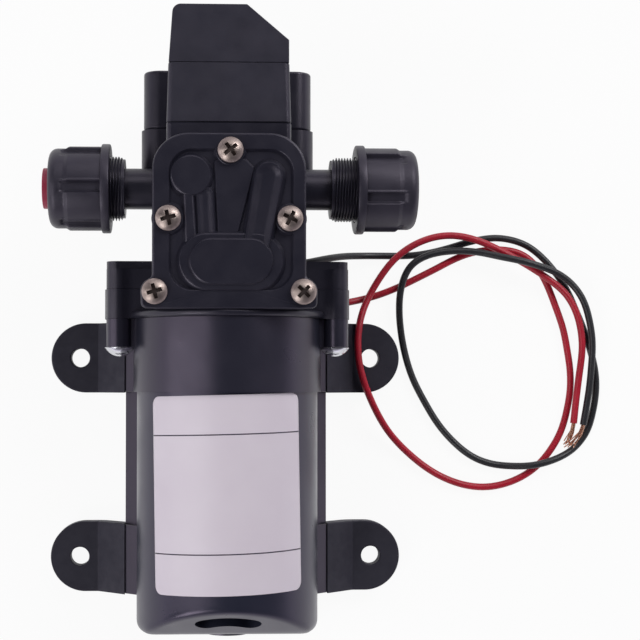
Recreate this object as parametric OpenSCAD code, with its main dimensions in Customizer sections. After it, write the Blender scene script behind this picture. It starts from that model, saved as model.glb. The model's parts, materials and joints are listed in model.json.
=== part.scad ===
// Small 12 V diaphragm water pump on four rubber feet, lying with its cover up.
// X runs across the motor, Y along the motor towards the pressure switch, Z up.
// The origin is the centre of the four foot holes, on the mounting surface.

/* [Mounting] */
// Distance between the foot holes across the motor
foot_pitch_x = 83; // [80:0.5:88]
// Distance between the foot holes along the motor
foot_pitch_y = 56.5; // [50:0.5:57.5]
// Bolt hole through each foot
foot_hole_d = 5.3; // [4.4:0.1:6]
// Width of each rubber foot
foot_w = 19.8; // [17:0.2:20.4]
// Thickness of the flat part of each foot
foot_t = 5; // [4.4:0.1:5.4]
// Thickness of the bracket sheet
bracket_t = 1.5; // [1:0.1:1.8]
// Height of the motor axis over the mounting surface
axis_z = 29; // [28:0.2:32]

/* [Motor] */
// Outside diameter of the motor can
can_d = 48.6; // [47:0.2:50]
// Wall of the motor can
can_wall = 1.6; // [1:0.1:2]
// From the centre of the foot holes to the rear end of the can
can_rear = 44.8; // [44:0.2:50]
// Angle of the two sloped facets at the rear end
facet_angle = 29; // [24:0.5:32]
// Length of the adapter's skirt over the can
skirt_len = 15.4; // [10:0.2:18]
// Motor shaft diameter
shaft_d = 5; // [4:0.2:6]

/* [Drive] */
// Offset of the eccentric from the motor axis
crank_throw = 1.8; // [1:0.1:2]
// Diameter of the pumping diaphragm
diaphragm_d = 25; // [24:0.2:26]

/* [Head] */
// Width of the front cover
cover_w = 39; // [38:0.2:41]
// Length of the front cover along the motor axis
cover_h = 44; // [43:0.2:46]
// Radius of the cover's two upper corners
cover_corner_r = 9.4; // [6:0.2:12]
// Thickness of the front cover at its rim
cover_t = 4; // [3.4:0.1:5]
// Head diameter of the cover screws
screw_head_d = 6.5; // [5.6:0.1:7]
// Width of the rear air chamber
chamber_w = 46.5; // [44:0.5:50]
// Height of the air chamber's cap
chamber_cap_h = 15.9; // [12:0.1:20]

/* [Ports] */
// Outside diameter of the hose that the ports take
tube_d = 10; // [8:0.1:10.4]
// Thread core diameter of the ports
spigot_d = 15.6; // [15.2:0.1:16]
// Diameter of the union nuts over their grip pads
nut_d = 22.2; // [22:0.1:23]
// Flange diameter of the union nuts
nut_flange_d = 23.6; // [23.4:0.1:25]
// Length of the union nuts
nut_len = 16.1; // [15:0.1:20]
// How far the inlet nut stands off the thread's shoulder
inlet_nut_gap = 3.8; // [3:0.1:6]
// How far the outlet nut stands off the thread's shoulder
outlet_nut_gap = 6.6; // [3:0.1:8]

/* [Pressure switch] */
// Width of the switch housing
switch_w = 31.8; // [30:0.2:33]
// Length of the switch base
switch_base_h = 15.4; // [14.5:0.1:18]
// Length of the switch cap
switch_cap_h = 15.1; // [14.5:0.1:18]
// Depth of the switch housing
switch_depth = 17.4; // [17:0.2:19]

/* [Leads] */
// Outside diameter of the two leads
lead_d = 2; // [1.6:0.1:2.1]

/* [Hidden] */
$fn = 64;
// Static fit between pieces that do not move on each other
fit = 0.05;
// Running clearance of turning and sliding pieces
run = 0.05;
// Free clearance between pieces that move apart
clear = 0.4;

can_r = can_d / 2;
can_in_r = can_r - can_wall;
shaft_r = shaft_d / 2;

// Stations along the motor axis
y_can_rear = -can_rear;
y_flange = 38.2;
y_plate = y_flange + 2;
y_seam = y_plate + 5.9;
y_lug_low = y_flange - 7.5;
y_lug_top = y_seam + 7.5;
y_can_front = y_flange - 4 - fit;
y_skirt = y_can_front - skirt_len;
y_crank = y_plate + 13.8;
y_cover = y_plate + 0.3;
y_cover_top = y_cover + cover_h;
y_port = y_plate + 32.4;
y_switch = y_cover_top + 3.6;
y_switch_seam = y_switch + switch_base_h;
y_switch_top = y_switch_seam + switch_cap_h;

// Heights of the head's layers
z_back = axis_z - 21;
z_split = axis_z + 4;
z_body = axis_z + 18;
z_valve = z_body + 4;
z_cover = z_valve + 1;
z_rim = z_cover + cover_t;
z_panel = z_rim - 0.9;
z_port = axis_z + 7;
z_switch = axis_z + 12.6;

// Feet and bracket
hole_x = foot_pitch_x / 2;
hole_y = foot_pitch_y / 2;
foot_r = foot_w / 2;
ear_x = hole_x - 1.65;
foot_wall = (foot_t - bracket_t) / 2;
tab_r = foot_r - foot_wall;
tab_hole_r = foot_hole_d / 2 + 1.5;
bracket_front = hole_y + tab_r;
bracket_rear = hole_y + foot_r;
bracket_edge = can_r + 4;
foot_in = bracket_edge + 2 * fit;
saddle_a = 50;
bend_r = 3;
ramp_a = 42;
saddle_r = can_r + 2 * fit + bracket_t / 2;
crest = [(saddle_r + bend_r) * sin(saddle_a), axis_z - (saddle_r + bend_r) * cos(saddle_a)];
ramp_top = crest + bend_r * [sin(ramp_a), cos(ramp_a)];
ramp_len = (ramp_top.y + bend_r * cos(ramp_a) - bend_r - foot_t / 2) / sin(ramp_a);
ramp_foot = ramp_top + ramp_len * [cos(ramp_a), -sin(ramp_a)];
fold = ramp_foot + bend_r * [sin(ramp_a), cos(ramp_a)];
wing_end = ear_x + foot_r + 1;

// Clamp lugs
lug_x = can_r + 4.7;
lug_edge = lug_x + 3.4;
lug_half = 5.2;
lug_rib_r = 3.3;
clamp_r = 1.9;
clamp_head_r = 4;
clamp_x = [-lug_x, lug_x];

// Adapter and plate
skirt_r = can_r + 0.95;
bead_r = can_r + 2.2;

// Rear end of the can
y_can_floor = y_can_rear + 10.6;
facet_y = y_can_rear + 7.7;
vent_r = 12;
vent_a = 28;
vent_half = 3;

// Crank drive
crank_z = axis_z + crank_throw;
bore_r = 15;
y_bore_top = y_crank + 9;
cam_r = shaft_r + 2.6;
race_r = cam_r + 1;
ball_r = 1.2;
ball_track_r = race_r + ball_r + run;
outer_r = ball_track_r + ball_r + run;
rod_in_r = outer_r + 1;
rod_out_r = rod_in_r + 2.2;
rod_half = 3.5;
diaphragm_r = diaphragm_d / 2;
neck_r = diaphragm_r - 2;
z_support = z_body - 4;
z_screw_end = crank_z + rod_in_r + 0.4;

// Cover screws as X and Y
screw_r = 1.75;
screw_lug_r = 3.7;
screw_at = [
    [0.3, y_cover + 39.5],
    [-cover_w / 2 + 4.1, y_cover + 22.2],
    [cover_w / 2 - 4.1, y_cover + 22.2],
    [-cover_w / 2 + 0.7, y_cover + 3.7],
    [cover_w / 2 - 0.7, y_cover + 3.7]
];
// How far each screw's cross is turned
screw_turn = [38, 15, 62, 15, 46];

// Ports
pipe_r = 5.4;
x_shoulder = cover_w / 2 + 7.7;
spigot_len = 13;
x_spigot = x_shoulder + spigot_len;
spigot_r = spigot_d / 2;
tube_r = tube_d / 2;
socket_r = tube_r + 0.1;
seat_r = socket_r + 1.4;
seat_len = 5.5;
x_stop = x_spigot - 10.2;
duct_r = 3.2;
nut_bore_r = spigot_r + 1;
nut_lip = 3;
grip_h = 0.8;
grip_w = 2.8;
collet_t = 3.4;
seal_r = 0.55;
x_seal = x_spigot - seat_len + 0.6;
x_inlet_nut = x_shoulder + inlet_nut_gap;
x_outlet_nut = x_shoulder + outlet_nut_gap;
tail_len = x_inlet_nut + nut_len - nut_lip - collet_t - x_seal - seal_r - 0.45;
valve_x = 5.6;
valve_y = y_cover + 11.1;

// Air chamber
y_chamber = y_port + pipe_r + 0.2;
y_chamber_seam = y_chamber + 11.1;
y_chamber_top = y_chamber_seam + chamber_cap_h;
z_chamber = z_split - 0.5;
chamber_r = 5;
chamber_wall = 2.4;

// Pressure switch
z_switch_low = z_split + 0.3;
z_switch_top = z_switch_low + switch_depth;
switch_wall = 2;
plunger_r = 5.2;

// Leads: red and black, in millimetres, from the grommet to the stripped end
lead_r = lead_d / 2;
grommet_x = cover_w / 2 + 0.9;
red_route = [
    [grommet_x, 43.2, 15], [24, 43.3, 13.6], [28, 43.5, 9.6], [32, 43.9, 5.2], [35.5, 44.4, 2.4],
    [39, 45.2, 1.2], [43.5, 46.3, 1.1], [47.5, 47.8, 1.1],
    [51.5, 49.5, 1.1], [56.5, 52, 1.1], [61.5, 54.5, 1.1], [66, 57, 1.1], [71, 59, 1.1],
    [76.5, 60, 1.1], [81.5, 60, 1.1], [86, 59, 1.1], [89.5, 56.5, 1.1], [92.5, 52.5, 1.1],
    [94.5, 48, 1.1], [96.5, 42.5, 1.1], [98.5, 37, 1.1], [99.5, 31, 1.1], [100.5, 25, 1.1],
    [100.5, 19, 1.1], [99.5, 13.5, 1.1], [98, 7.5, 1.1], [95, 2, 1.1], [90.5, -3.5, 1.1],
    [84, -7.5, 1.1], [76, -9.5, 1.1], [68, -8.5, 1.1], [60, -5, 1.1], [53, 0.5, 1.4],
    [47, 6.5, 3.2], [43, 13, 5.6], [40, 19.5, 7], [38, 26, 7.4], [37.5, 32.5, 7.2],
    [38.2, 39, 6.4], [40.5, 45, 4.6], [44, 51, 3.9], [48, 56.5, 3.8], [53, 60.5, 3.7],
    [58.5, 63, 3.7], [64, 64, 3.7], [69.5, 63.5, 3.7], [75.5, 61.5, 3.7], [81.5, 58.5, 3.7],
    [88, 55, 3.7], [94, 51, 3.7], [98.5, 47.5, 3.7], [101.5, 42.5, 3.7], [103, 37, 3.7],
    [103.5, 31, 3.7], [102.5, 24.5, 3.7], [101.5, 17, 3.7], [100.7, 9.5, 3.7]
];
black_route = [
    [grommet_x, 54.5, 15], [24, 55.2, 14], [29, 56.5, 10.4], [34, 57.5, 6], [38, 57.8, 3.2],
    [42, 58, 1.6], [47.5, 58, 1.1], [54, 58, 1.1],
    [60, 59, 1.1], [65.5, 60.5, 1.1], [70, 62, 1.1], [74.5, 63, 1.1], [78.5, 63.5, 1.1],
    [83, 63, 1.1], [87.5, 61.5, 1.1], [91, 59, 1.1], [94.5, 55.5, 1.1], [97.5, 51.5, 1.1],
    [100, 47.5, 1.1], [102, 42.5, 1.1], [104, 38, 1.1], [105.5, 33.5, 1.1], [107, 28.5, 1.1],
    [108, 23.5, 1.1], [108, 18, 1.1], [107, 12.5, 1.1], [105.5, 7, 1.1], [102, 2.5, 1.2],
    [98, 0, 2.7], [92.5, -2, 3.8], [87.5, -3, 3.1], [82, -3, 1.2], [77, -2.5, 1.1],
    [71.5, -0.5, 1.1], [66.5, 3.5, 1.1], [61.5, 9, 1.1], [57.5, 16, 1.1], [54, 22.5, 1.1],
    [51.8, 30, 1.1], [50.6, 37, 1.3], [50, 43.5, 3], [50.5, 49, 3.7], [52.5, 54.5, 3.7],
    [56.5, 57.5, 3.7], [61.5, 59, 3.7], [67.5, 59.5, 3.7], [73.5, 59, 4.2], [79, 57.5, 5.6],
    [84.5, 56.5, 6.4], [90, 55, 6.2], [96.5, 53, 4.3], [101, 49.5, 3.7], [104, 45, 3.7],
    [105.5, 39.5, 3.7], [106.5, 33, 3.7], [106, 26.5, 3.7], [105.5, 20.5, 3.7],
    [104.5, 14.5, 3.7], [103.5, 9, 3.7]
];

function unit(v) = v / norm(v);
function heading(p, i) =
    unit(p[min(i + 1, len(p) - 1)] - p[max(i - 1, 0)]);
function side_of(t) = unit(cross(t, [0, 0, 1]));
function ring(p, t, r, n) = [
    for (k = [0 : n - 1])
        p + r * (cos(360 * k / n) * side_of(t) + sin(360 * k / n) * cross(side_of(t), t))
];

// Least gap that a round tube of radius r leaves to itself, on points between the ring centres
function between(p, k) =
    [for (i = [0 : len(p) - 2], j = [0 : k - 1]) p[i] + (p[i + 1] - p[i]) * j / k];
function least_gap(p, r, skip) =
    min([for (i = [0 : len(p) - 1 - skip], j = [i + skip : len(p) - 1]) norm(p[i] - p[j])]) - 2 * r;
echo(red_lead_gap = least_gap(between(red_route, 4), lead_r, 16));
echo(black_lead_gap = least_gap(between(black_route, 4), lead_r, 16));

// Tube of n sides along the points p
module tube(p, r, n) {
    m = len(p);
    t = [for (i = [0 : m - 1]) i == 0 ? [1, 0, 0] : heading(p, i)];
    points = [for (i = [0 : m - 1]) each ring(p[i], t[i], r, n)];
    sides = [
        for (i = [0 : m - 2], k = [0 : n - 1])
            each [
                [i * n + k, (i + 1) * n + k, i * n + (k + 1) % n],
                [i * n + (k + 1) % n, (i + 1) * n + k, (i + 1) * n + (k + 1) % n]
            ]
    ];
    start = [for (k = [0 : n - 1]) k];
    finish = [for (k = [n - 1 : -1 : 0]) (m - 1) * n + k];
    polyhedron(points, concat(sides, [start], [finish]), convexity = 10);
}

// Plain helpers: cylinders along each axis and extrusions of upright sections
module ycyl(r, y0, y1, x = 0, z = axis_z) {
    translate([x, y0, z])
        rotate([-90, 0, 0])
            cylinder(r = r, h = y1 - y0);
}

module xcyl(r, x0, x1, y, z) {
    translate([x0, y, z])
        rotate([0, 90, 0])
            cylinder(r = r, h = x1 - x0);
}

module zcyl(r, z0, z1, at) {
    translate([at.x, at.y, z0])
        cylinder(r = r, h = z1 - z0);
}

module along_y(y0, y1) {
    translate([0, y1, 0])
        rotate([90, 0, 0])
            linear_extrude(height = y1 - y0)
                children();
}

// A section of radius and Y turned round the line along Y through x and z
module spin_y(x = 0, z = axis_z) {
    translate([x, 0, z])
        rotate([-90, 0, 0])
            rotate_extrude()
                children();
}

// A section of radius and distance turned round a port's axis, outwards along side
module spin_port(side) {
    translate([0, y_port, z_port])
        rotate([0, side * 90, 0])
            rotate_extrude()
                children();
}

module block(low, high) {
    translate(low)
        cube(high - low);
}

module rounded(low, high, r) {
    translate([low.x + r, low.y])
        square([high.x - low.x - 2 * r, high.y - low.y]);
    translate([low.x, low.y + r])
        square([high.x - low.x, high.y - low.y - 2 * r]);
    for (x = [low.x + r, high.x - r], y = [low.y + r, high.y - r])
        translate([x, y])
            circle(r);
}

module stadium(at, half_x, half_y) {
    for (s = [-1, 1])
        translate([at.x + s * (half_x - half_y), at.y])
            circle(half_y);
    translate([at.x - half_x + half_y, at.y - half_y])
        square([2 * (half_x - half_y), 2 * half_y]);
}

// Part of a flat ring from angle a0 to angle a1
module bend(at, r, t, a0, a1) {
    far = 2 * r + t;
    am = (a0 + a1) / 2;
    translate(at)
        intersection() {
            difference() {
                circle(r + t / 2);
                circle(r - t / 2);
            }
            polygon([
                [0, 0],
                far * [cos(a0), sin(a0)],
                far * [cos(am), sin(am)],
                far * [cos(a1), sin(a1)]
            ]);
        }
}

// Points of an arc after its first one, and a half outline turned over to the left
function arc(at, r, a0, a1, n) =
    [for (i = [1 : n]) let (a = a0 + (a1 - a0) * i / n) at + r * [cos(a), sin(a)]];
function turned(p) =
    [for (i = [len(p) - 1 : -1 : 0]) [-p[i].x, p[i].y]];

// Upper and lower side of the right wing, from the saddle to the tab's end and back
function wing_top(t) = concat(
    arc(crest, bend_r + t / 2, 90 + saddle_a, 90 - ramp_a, 12),
    [fold + (bend_r - t / 2) * [-sin(ramp_a), -cos(ramp_a)]],
    arc(fold, bend_r - t / 2, -90 - ramp_a, -90, 6),
    [[wing_end, foot_t / 2 + t / 2]]
);
function wing_under(t) = concat(
    [[wing_end, foot_t / 2 - t / 2], [fold.x, foot_t / 2 - t / 2]],
    arc(fold, bend_r + t / 2, -90, -90 - ramp_a, 6),
    [crest + (bend_r - t / 2) * [sin(ramp_a), cos(ramp_a)]],
    arc(crest, bend_r - t / 2, 90 - ramp_a, 90 + saddle_a, 12)
);

// Section of the bracket: saddle, two raised wings and flat tabs
module bracket_section(t) {
    centre = [0, axis_z];
    step = saddle_a / 10;
    low = wing_under(t);
    top = wing_top(t);
    polygon(concat(
        turned(top),
        arc(centre, saddle_r - t / 2, -90 - saddle_a - step, -90 + saddle_a, 21),
        top,
        low,
        arc(centre, saddle_r + t / 2, -90 + saddle_a, -90 - saddle_a + step, 19),
        turned(low)
    ));
}

// Plan of one foot or of the tab inside it
module ear(r, x0) {
    translate([ear_x, hole_y])
        circle(r);
    translate([x0, hole_y - r])
        square([ear_x - x0, 2 * r]);
}

module tab_solid(t, r, x0) {
    intersection() {
        along_y(0, 2 * hole_y)
            bracket_section(t);
        linear_extrude(height = 2 * axis_z)
            ear(r, x0);
    }
}

module foot() {
    difference() {
        tab_solid(foot_t, foot_r, foot_in);
        difference() {
            tab_solid(bracket_t + 2 * fit, tab_r + fit, 0);
            zcyl(tab_hole_r - fit, -1, foot_t + 1, [hole_x, hole_y]);
        }
        zcyl(foot_hole_d / 2, -1, foot_t + 1, [hole_x, hole_y]);
    }
}

module foot_upper_right() {
    color([0.1, 0.1, 0.12])
        foot();
}

module foot_upper_left() {
    color([0.1, 0.1, 0.12])
        mirror([1, 0, 0])
            foot();
}

module foot_lower_right() {
    color([0.1, 0.1, 0.12])
        mirror([0, 1, 0])
            foot();
}

module foot_lower_left() {
    color([0.1, 0.1, 0.12])
        rotate([0, 0, 180])
            foot();
}

module bracket_plan() {
    translate([-bracket_edge, -bracket_rear])
        square([2 * bracket_edge, bracket_rear + bracket_front]);
    for (x = [0, 1], y = [0, 1])
        mirror([x, 0])
            mirror([0, y])
                ear(tab_r, bracket_edge - 1);
}

module base_bracket() {
    color([0.2, 0.2, 0.22])
        difference() {
            intersection() {
                along_y(-bracket_rear, bracket_front)
                    bracket_section(bracket_t);
                linear_extrude(height = 2 * axis_z)
                    bracket_plan();
            }
            for (x = [-hole_x, hole_x], y = [-hole_y, hole_y])
                zcyl(tab_hole_r, -1, foot_t + 1, [x, y]);
        }
}

// Half space behind one sloped facet of the can, moved outwards by d
module facet_cut(d) {
    translate([0, facet_y, axis_z + can_r])
        rotate([-facet_angle, 0, 0])
            translate([-can_r - 5, -40 - d, -60])
                cube([2 * can_r + 10, 40, 80]);
}

// Curved vent through one facet
module facet_vent() {
    translate([0, facet_y, axis_z + can_r])
        rotate([-facet_angle, 0, 0])
            translate([0, -2, -6.6 - vent_r])
                rotate([-90, 0, 0])
                    linear_extrude(height = 12)
                        polygon(concat(
                            arc([0, 0], vent_r + vent_half, -90 - vent_a, -90 + vent_a, 16),
                            arc(vent_r * [sin(vent_a), -cos(vent_a)], vent_half, -90 + vent_a, 90 + vent_a, 10),
                            arc([0, 0], vent_r - vent_half, -90 + vent_a, -90 - vent_a, 16),
                            arc(vent_r * [-sin(vent_a), -cos(vent_a)], vent_half, 90 - vent_a, 270 - vent_a, 10)
                        ));
}

module motor_can() {
    r = 1.5;
    color([0.16, 0.16, 0.18])
        difference() {
            spin_y()
                union() {
                    translate([0, y_can_rear + r])
                        square([can_r, y_can_front - y_can_rear - r]);
                    translate([0, y_can_rear])
                        square([can_r - r, r + 0.1]);
                    translate([can_r - r, y_can_rear + r])
                        circle(r);
                    translate([0, y_can_rear - 1.1])
                        square([6.5, 1.6]);
                }
            ycyl(can_in_r, y_can_floor, y_can_front + 1);
            ycyl(5 + fit, y_can_floor - 6, y_can_floor + 1);
            ycyl(shaft_r + clear, y_can_floor - 7.5, y_can_floor);
            for (a = [0, 180])
                translate([0, 0, axis_z])
                    rotate([0, a, 0])
                        translate([0, 0, -axis_z]) {
                            facet_cut(0);
                            facet_vent();
                        }
        }
}

module rear_bearing() {
    color([0.7, 0.55, 0.3])
        difference() {
            ycyl(5, y_can_floor - 6 + fit, y_can_floor);
            ycyl(shaft_r + run, y_can_floor - 7, y_can_floor + 1);
        }
}

module field_magnets() {
    color([0.28, 0.28, 0.3])
        for (a = [0, 180])
            translate([0, 14, axis_z])
                rotate([90, a, 0])
                    linear_extrude(height = 42)
                        bend([0, 0], can_in_r - 1.8, 3.4, -62, 62);
}

// Lug of one layer on the side given by s, with a round rib over its screw up to y2
module lug(s, x0, y0, y1, y2, edge = lug_edge) {
    mirror([s, 0, 0]) {
        along_y(y0, y1)
            rounded([x0, axis_z - lug_half], [edge, axis_z + lug_half], 3);
        ycyl(lug_rib_r, y0, y2, lug_x, axis_z + lug_half - 0.6);
    }
}

module motor_adapter() {
    color([0.15, 0.15, 0.17])
        difference() {
            union() {
                ycyl(skirt_r, y_skirt, y_flange - fit);
                for (s = [0, 1])
                    lug(s, can_r - 6, y_lug_low, y_flange - fit, y_flange - fit);
            }
            ycyl(can_r + fit, y_skirt - 1, y_can_front + fit);
            ycyl(6 + fit, y_can_front - 1, y_flange + 1);
            along_y(y_skirt - 1, bracket_front + 0.3)
                intersection() {
                    bend([0, axis_z], saddle_r + 1.5, bracket_t + 4, -97 - saddle_a, -83 + saddle_a);
                    translate([-can_r, 0])
                        square([2 * can_r, axis_z]);
                }
            for (x = clamp_x) {
                ycyl(clamp_r + 0.2, y_lug_low - 1, y_flange + 1, x);
                ycyl(clamp_head_r + 0.2, y_lug_low - 4, y_lug_low, x);
            }
        }
}

module front_bearing() {
    color([0.7, 0.55, 0.3])
        difference() {
            ycyl(6, y_can_front - 1, y_flange - fit);
            ycyl(shaft_r + run, y_can_front - 2, y_flange + 1);
        }
}

module brush_card() {
    color([0.45, 0.3, 0.15])
        difference() {
            union() {
                ycyl(can_in_r - 0.2, y_can_front - 3, y_can_front - 1 - fit);
                for (s = [-1, 1])
                    translate([s * 14.5, 24.3, axis_z])
                        cube([9, 14, 9], center = true);
            }
            ycyl(9, y_can_front - 20, y_can_front);
            for (s = [-1, 1])
                translate([s * 14, 23, axis_z])
                    cube([16, 6 + 2 * fit, 5 + 2 * fit], center = true);
        }
}

module carbon_brushes() {
    color([0.12, 0.12, 0.13])
        for (s = [-1, 1])
            translate([s * 13, 23, axis_z])
                cube([9, 6, 5], center = true);
}

module motor_shaft() {
    color([0.75, 0.75, 0.77])
        ycyl(shaft_r, y_can_floor - 6.5, y_crank + 5);
}

module core_slots(w, r0, r1) {
    for (i = [0 : 11])
        rotate(30 * i)
            translate([r0, -w / 2])
                square([r1 - r0, w]);
}

module armature_core() {
    r = can_in_r - 4.2;
    color([0.45, 0.45, 0.48])
        translate([0, 8, axis_z])
            rotate([90, 0, 0])
                linear_extrude(height = 30)
                    difference() {
                        circle(r);
                        circle(shaft_r);
                        core_slots(3, r - 7, r - 1.2);
                        core_slots(1.2, r - 2, r + 1);
                    }
}

module armature_winding() {
    r = can_in_r - 4.2;
    color([0.72, 0.4, 0.2]) {
        translate([0, 8 - fit, axis_z])
            rotate([90, 0, 0])
                linear_extrude(height = 30 - 2 * fit)
                    core_slots(2.8, r - 6.9, r - 1.3);
        for (y = [[-30, -22 - fit], [8 + fit, 16]])
            difference() {
                ycyl(r - 1.5, y[0], y[1]);
                ycyl(shaft_r + 1, y[0] - 1, y[1] + 1);
            }
        for (y = [-22 - 2 * fit, 8 - 2 * fit])
            along_y(y, y + 4 * fit)
                translate([0, axis_z])
                    core_slots(2.8, r - 6.9, r - 1.5);
    }
}

module commutator() {
    color([0.72, 0.42, 0.22])
        difference() {
            ycyl(8, 16 + fit, 29);
            ycyl(shaft_r, 15, 30);
            for (i = [0 : 11])
                translate([0, 18, axis_z])
                    rotate([0, 30 * i + 15, 0])
                        translate([7, 0, -0.25])
                            cube([2, 12, 0.5]);
        }
}

module crank_plate() {
    color([0.15, 0.15, 0.17])
        difference() {
            union() {
                spin_y()
                    union() {
                        translate([0, y_flange])
                            square([bead_r - 1, y_plate - y_flange]);
                        translate([bead_r - 1, (y_flange + y_plate) / 2])
                            circle(1);
                    }
                for (s = [0, 1]) {
                    lug(s, cover_w / 2 - 0.4, y_flange, y_seam, y_seam, lug_edge + 0.4);
                    lug(s, cover_w / 2 - 2, y_flange, y_plate, y_plate);
                }
            }
            ycyl(7, y_flange - 1, y_plate + 1);
            for (x = clamp_x)
                ycyl(clamp_r + 0.2, y_flange - 1, y_seam + 1, x);
        }
}

module clamp_screws() {
    color([0.72, 0.7, 0.66])
        for (x = clamp_x) {
            ycyl(clamp_r, y_lug_low - 0.5, y_lug_top - 1.5, x);
            spin_y(x)
                intersection() {
                    translate([0, y_lug_low + 2.1])
                        circle(4.6);
                    translate([0, y_lug_low - 3])
                        square([clamp_head_r, 3]);
                }
        }
}

// Outline shared by the cover, its gasket, the valve plate and the body's front
module head_plan(d) {
    w = cover_w / 2 - d;
    y_arc = y_cover_top - cover_corner_r;
    translate([-w, y_cover + d])
        square([2 * w, y_arc - y_cover - d]);
    translate([-cover_w / 2 + cover_corner_r, y_arc - 1])
        square([cover_w - 2 * cover_corner_r, 1 + cover_corner_r - d]);
    for (s = [-1, 1]) {
        translate([s * (cover_w / 2 - cover_corner_r), y_arc])
            circle(cover_corner_r - d);
        translate(s < 0 ? screw_at[3] : screw_at[4])
            circle(screw_lug_r - d);
    }
}

module head_layer(z0, z1, d) {
    translate([0, 0, z0])
        linear_extrude(height = z1 - z0)
            head_plan(d);
}

module screw_holes(r, z0, z1) {
    for (at = screw_at)
        zcyl(r, z0, z1, at);
}

// Water ways shared by the cover, the gasket and the valve plate
module way_plan() {
    for (s = [-1, 1]) {
        translate([s * 8, y_port])
            circle(3);
        translate([s * 8 - 2, valve_y])
            square([4, y_port - valve_y]);
        intersection() {
            stadium([0, valve_y], 11.4, 4.8);
            translate([s > 0 ? 0.9 : -20, 0])
                square([19.1, 200]);
        }
    }
}

module port_solid() {
    for (s = [-1, 1])
        spin_port(s)
            union() {
                translate([0, 10])
                    square([pipe_r, x_shoulder - 9]);
                translate([0, x_shoulder])
                    square([spigot_r, spigot_len]);
            }
}

module port_ways() {
    for (s = [-1, 1])
        spin_port(s)
            union() {
                translate([0, s > 0 ? -1 : 5])
                    square([duct_r, x_spigot - 5]);
                translate([0, x_stop])
                    square([socket_r, 20]);
                translate([0, x_spigot - seat_len])
                    square([seat_r, 20]);
            }
}

module pump_body() {
    rear_w = cover_w / 2 - 1.2;
    color([0.15, 0.15, 0.17])
        difference() {
            union() {
                head_layer(z_split, z_body, 0.6);
                block([-rear_w, y_plate, z_back], [rear_w, y_chamber + 1, z_split + 1]);
                along_y(y_chamber, y_chamber_seam)
                    rounded([-chamber_w / 2, z_back], [chamber_w / 2, z_chamber], chamber_r);
                block([-switch_w / 2, y_chamber, z_chamber - 3], [switch_w / 2, y_switch - fit, z_body]);
                for (s = [0, 1])
                    lug(s, cover_w / 2 - 4, y_seam + fit, y_lug_top, y_lug_top - 2.2);
                port_solid();
            }
            ycyl(bore_r, y_plate - 1, y_bore_top);
            for (s = [0, 1])
                mirror([s, 0, 0])
                    block([cover_w / 2 - 0.4 - fit, y_plate - 1, axis_z - lug_half - fit],
                          [lug_edge + 1, y_seam + fit, axis_z + lug_half + fit]);
            zcyl(neck_r, axis_z, z_body + 1, [0, y_crank]);
            zcyl(diaphragm_r + fit, z_body - 2, z_body + 1, [0, y_crank]);
            screw_holes(screw_r + fit, z_body - 10, z_body + 1);
            port_ways();
            for (s = [-1, 1])
                zcyl(3, z_port, z_body + 1, [s * 8, y_port]);
            ycyl(1.5, y_port, y_switch + 1, 0, z_switch);
            along_y(y_chamber + 3, y_chamber_seam + 1)
                rounded([-chamber_w / 2 + chamber_wall, z_back + chamber_wall],
                        [chamber_w / 2 - chamber_wall, z_chamber - chamber_wall - 1], chamber_r - chamber_wall);
            for (x = clamp_x)
                ycyl(clamp_r + fit, y_seam - 1, y_lug_top - 1, x);
            for (y = [red_route[0].y, black_route[0].y])
                xcyl(lead_r + 0.6 + fit, bore_r - 6, cover_w, y, 15);
        }
}

module chamber_cap() {
    color([0.15, 0.15, 0.17])
        difference() {
            along_y(y_chamber_seam + fit, y_chamber_top)
                rounded([-chamber_w / 2 + 0.6, z_back + 0.4],
                        [chamber_w / 2 - 0.6, z_chamber - 0.4], chamber_r - 0.4);
            along_y(y_chamber_seam - 1, y_chamber_top - chamber_wall)
                rounded([-chamber_w / 2 + chamber_wall, z_back + chamber_wall],
                        [chamber_w / 2 - chamber_wall, z_chamber - chamber_wall - 1], chamber_r - chamber_wall);
        }
}

module eccentric() {
    color([0.6, 0.6, 0.62])
        difference() {
            union() {
                ycyl(cam_r, y_crank - 4, y_crank + 4, 0, crank_z);
                ycyl(cam_r + 0.6, y_crank - 4, y_crank - 2.5 - fit, 0, crank_z);
            }
            ycyl(shaft_r, y_crank - 5, y_crank + 5);
        }
}

module bearing_inner_race() {
    color([0.78, 0.78, 0.8])
        difference() {
            ycyl(race_r, y_crank - 2.5, y_crank + 2.5, 0, crank_z);
            ycyl(cam_r, y_crank - 3, y_crank + 3, 0, crank_z);
        }
}

module bearing_balls() {
    color([0.8, 0.8, 0.82])
        for (i = [0 : 8])
            translate([0, y_crank, crank_z])
                rotate([0, 40 * i, 0])
                    translate([ball_track_r, 0, 0])
                        sphere(ball_r);
}

module bearing_outer_race() {
    color([0.78, 0.78, 0.8])
        difference() {
            ycyl(rod_in_r, y_crank - 2.5, y_crank + 2.5, 0, crank_z);
            ycyl(outer_r, y_crank - 3, y_crank + 3, 0, crank_z);
        }
}

module connecting_rod() {
    color([0.85, 0.85, 0.82])
        difference() {
            union() {
                ycyl(rod_out_r, y_crank - rod_half, y_crank + rod_half, 0, crank_z);
                block([-4, y_crank - rod_half, crank_z], [4, y_crank + rod_half, z_support - 2]);
                zcyl(7, z_support - 3, z_support - fit, [0, y_crank]);
            }
            ycyl(rod_in_r + fit, y_crank - rod_half - 1, y_crank + rod_half + 1, 0, crank_z);
            zcyl(1.5 + fit, z_screw_end - 1, z_support + 1, [0, y_crank]);
        }
}

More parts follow.
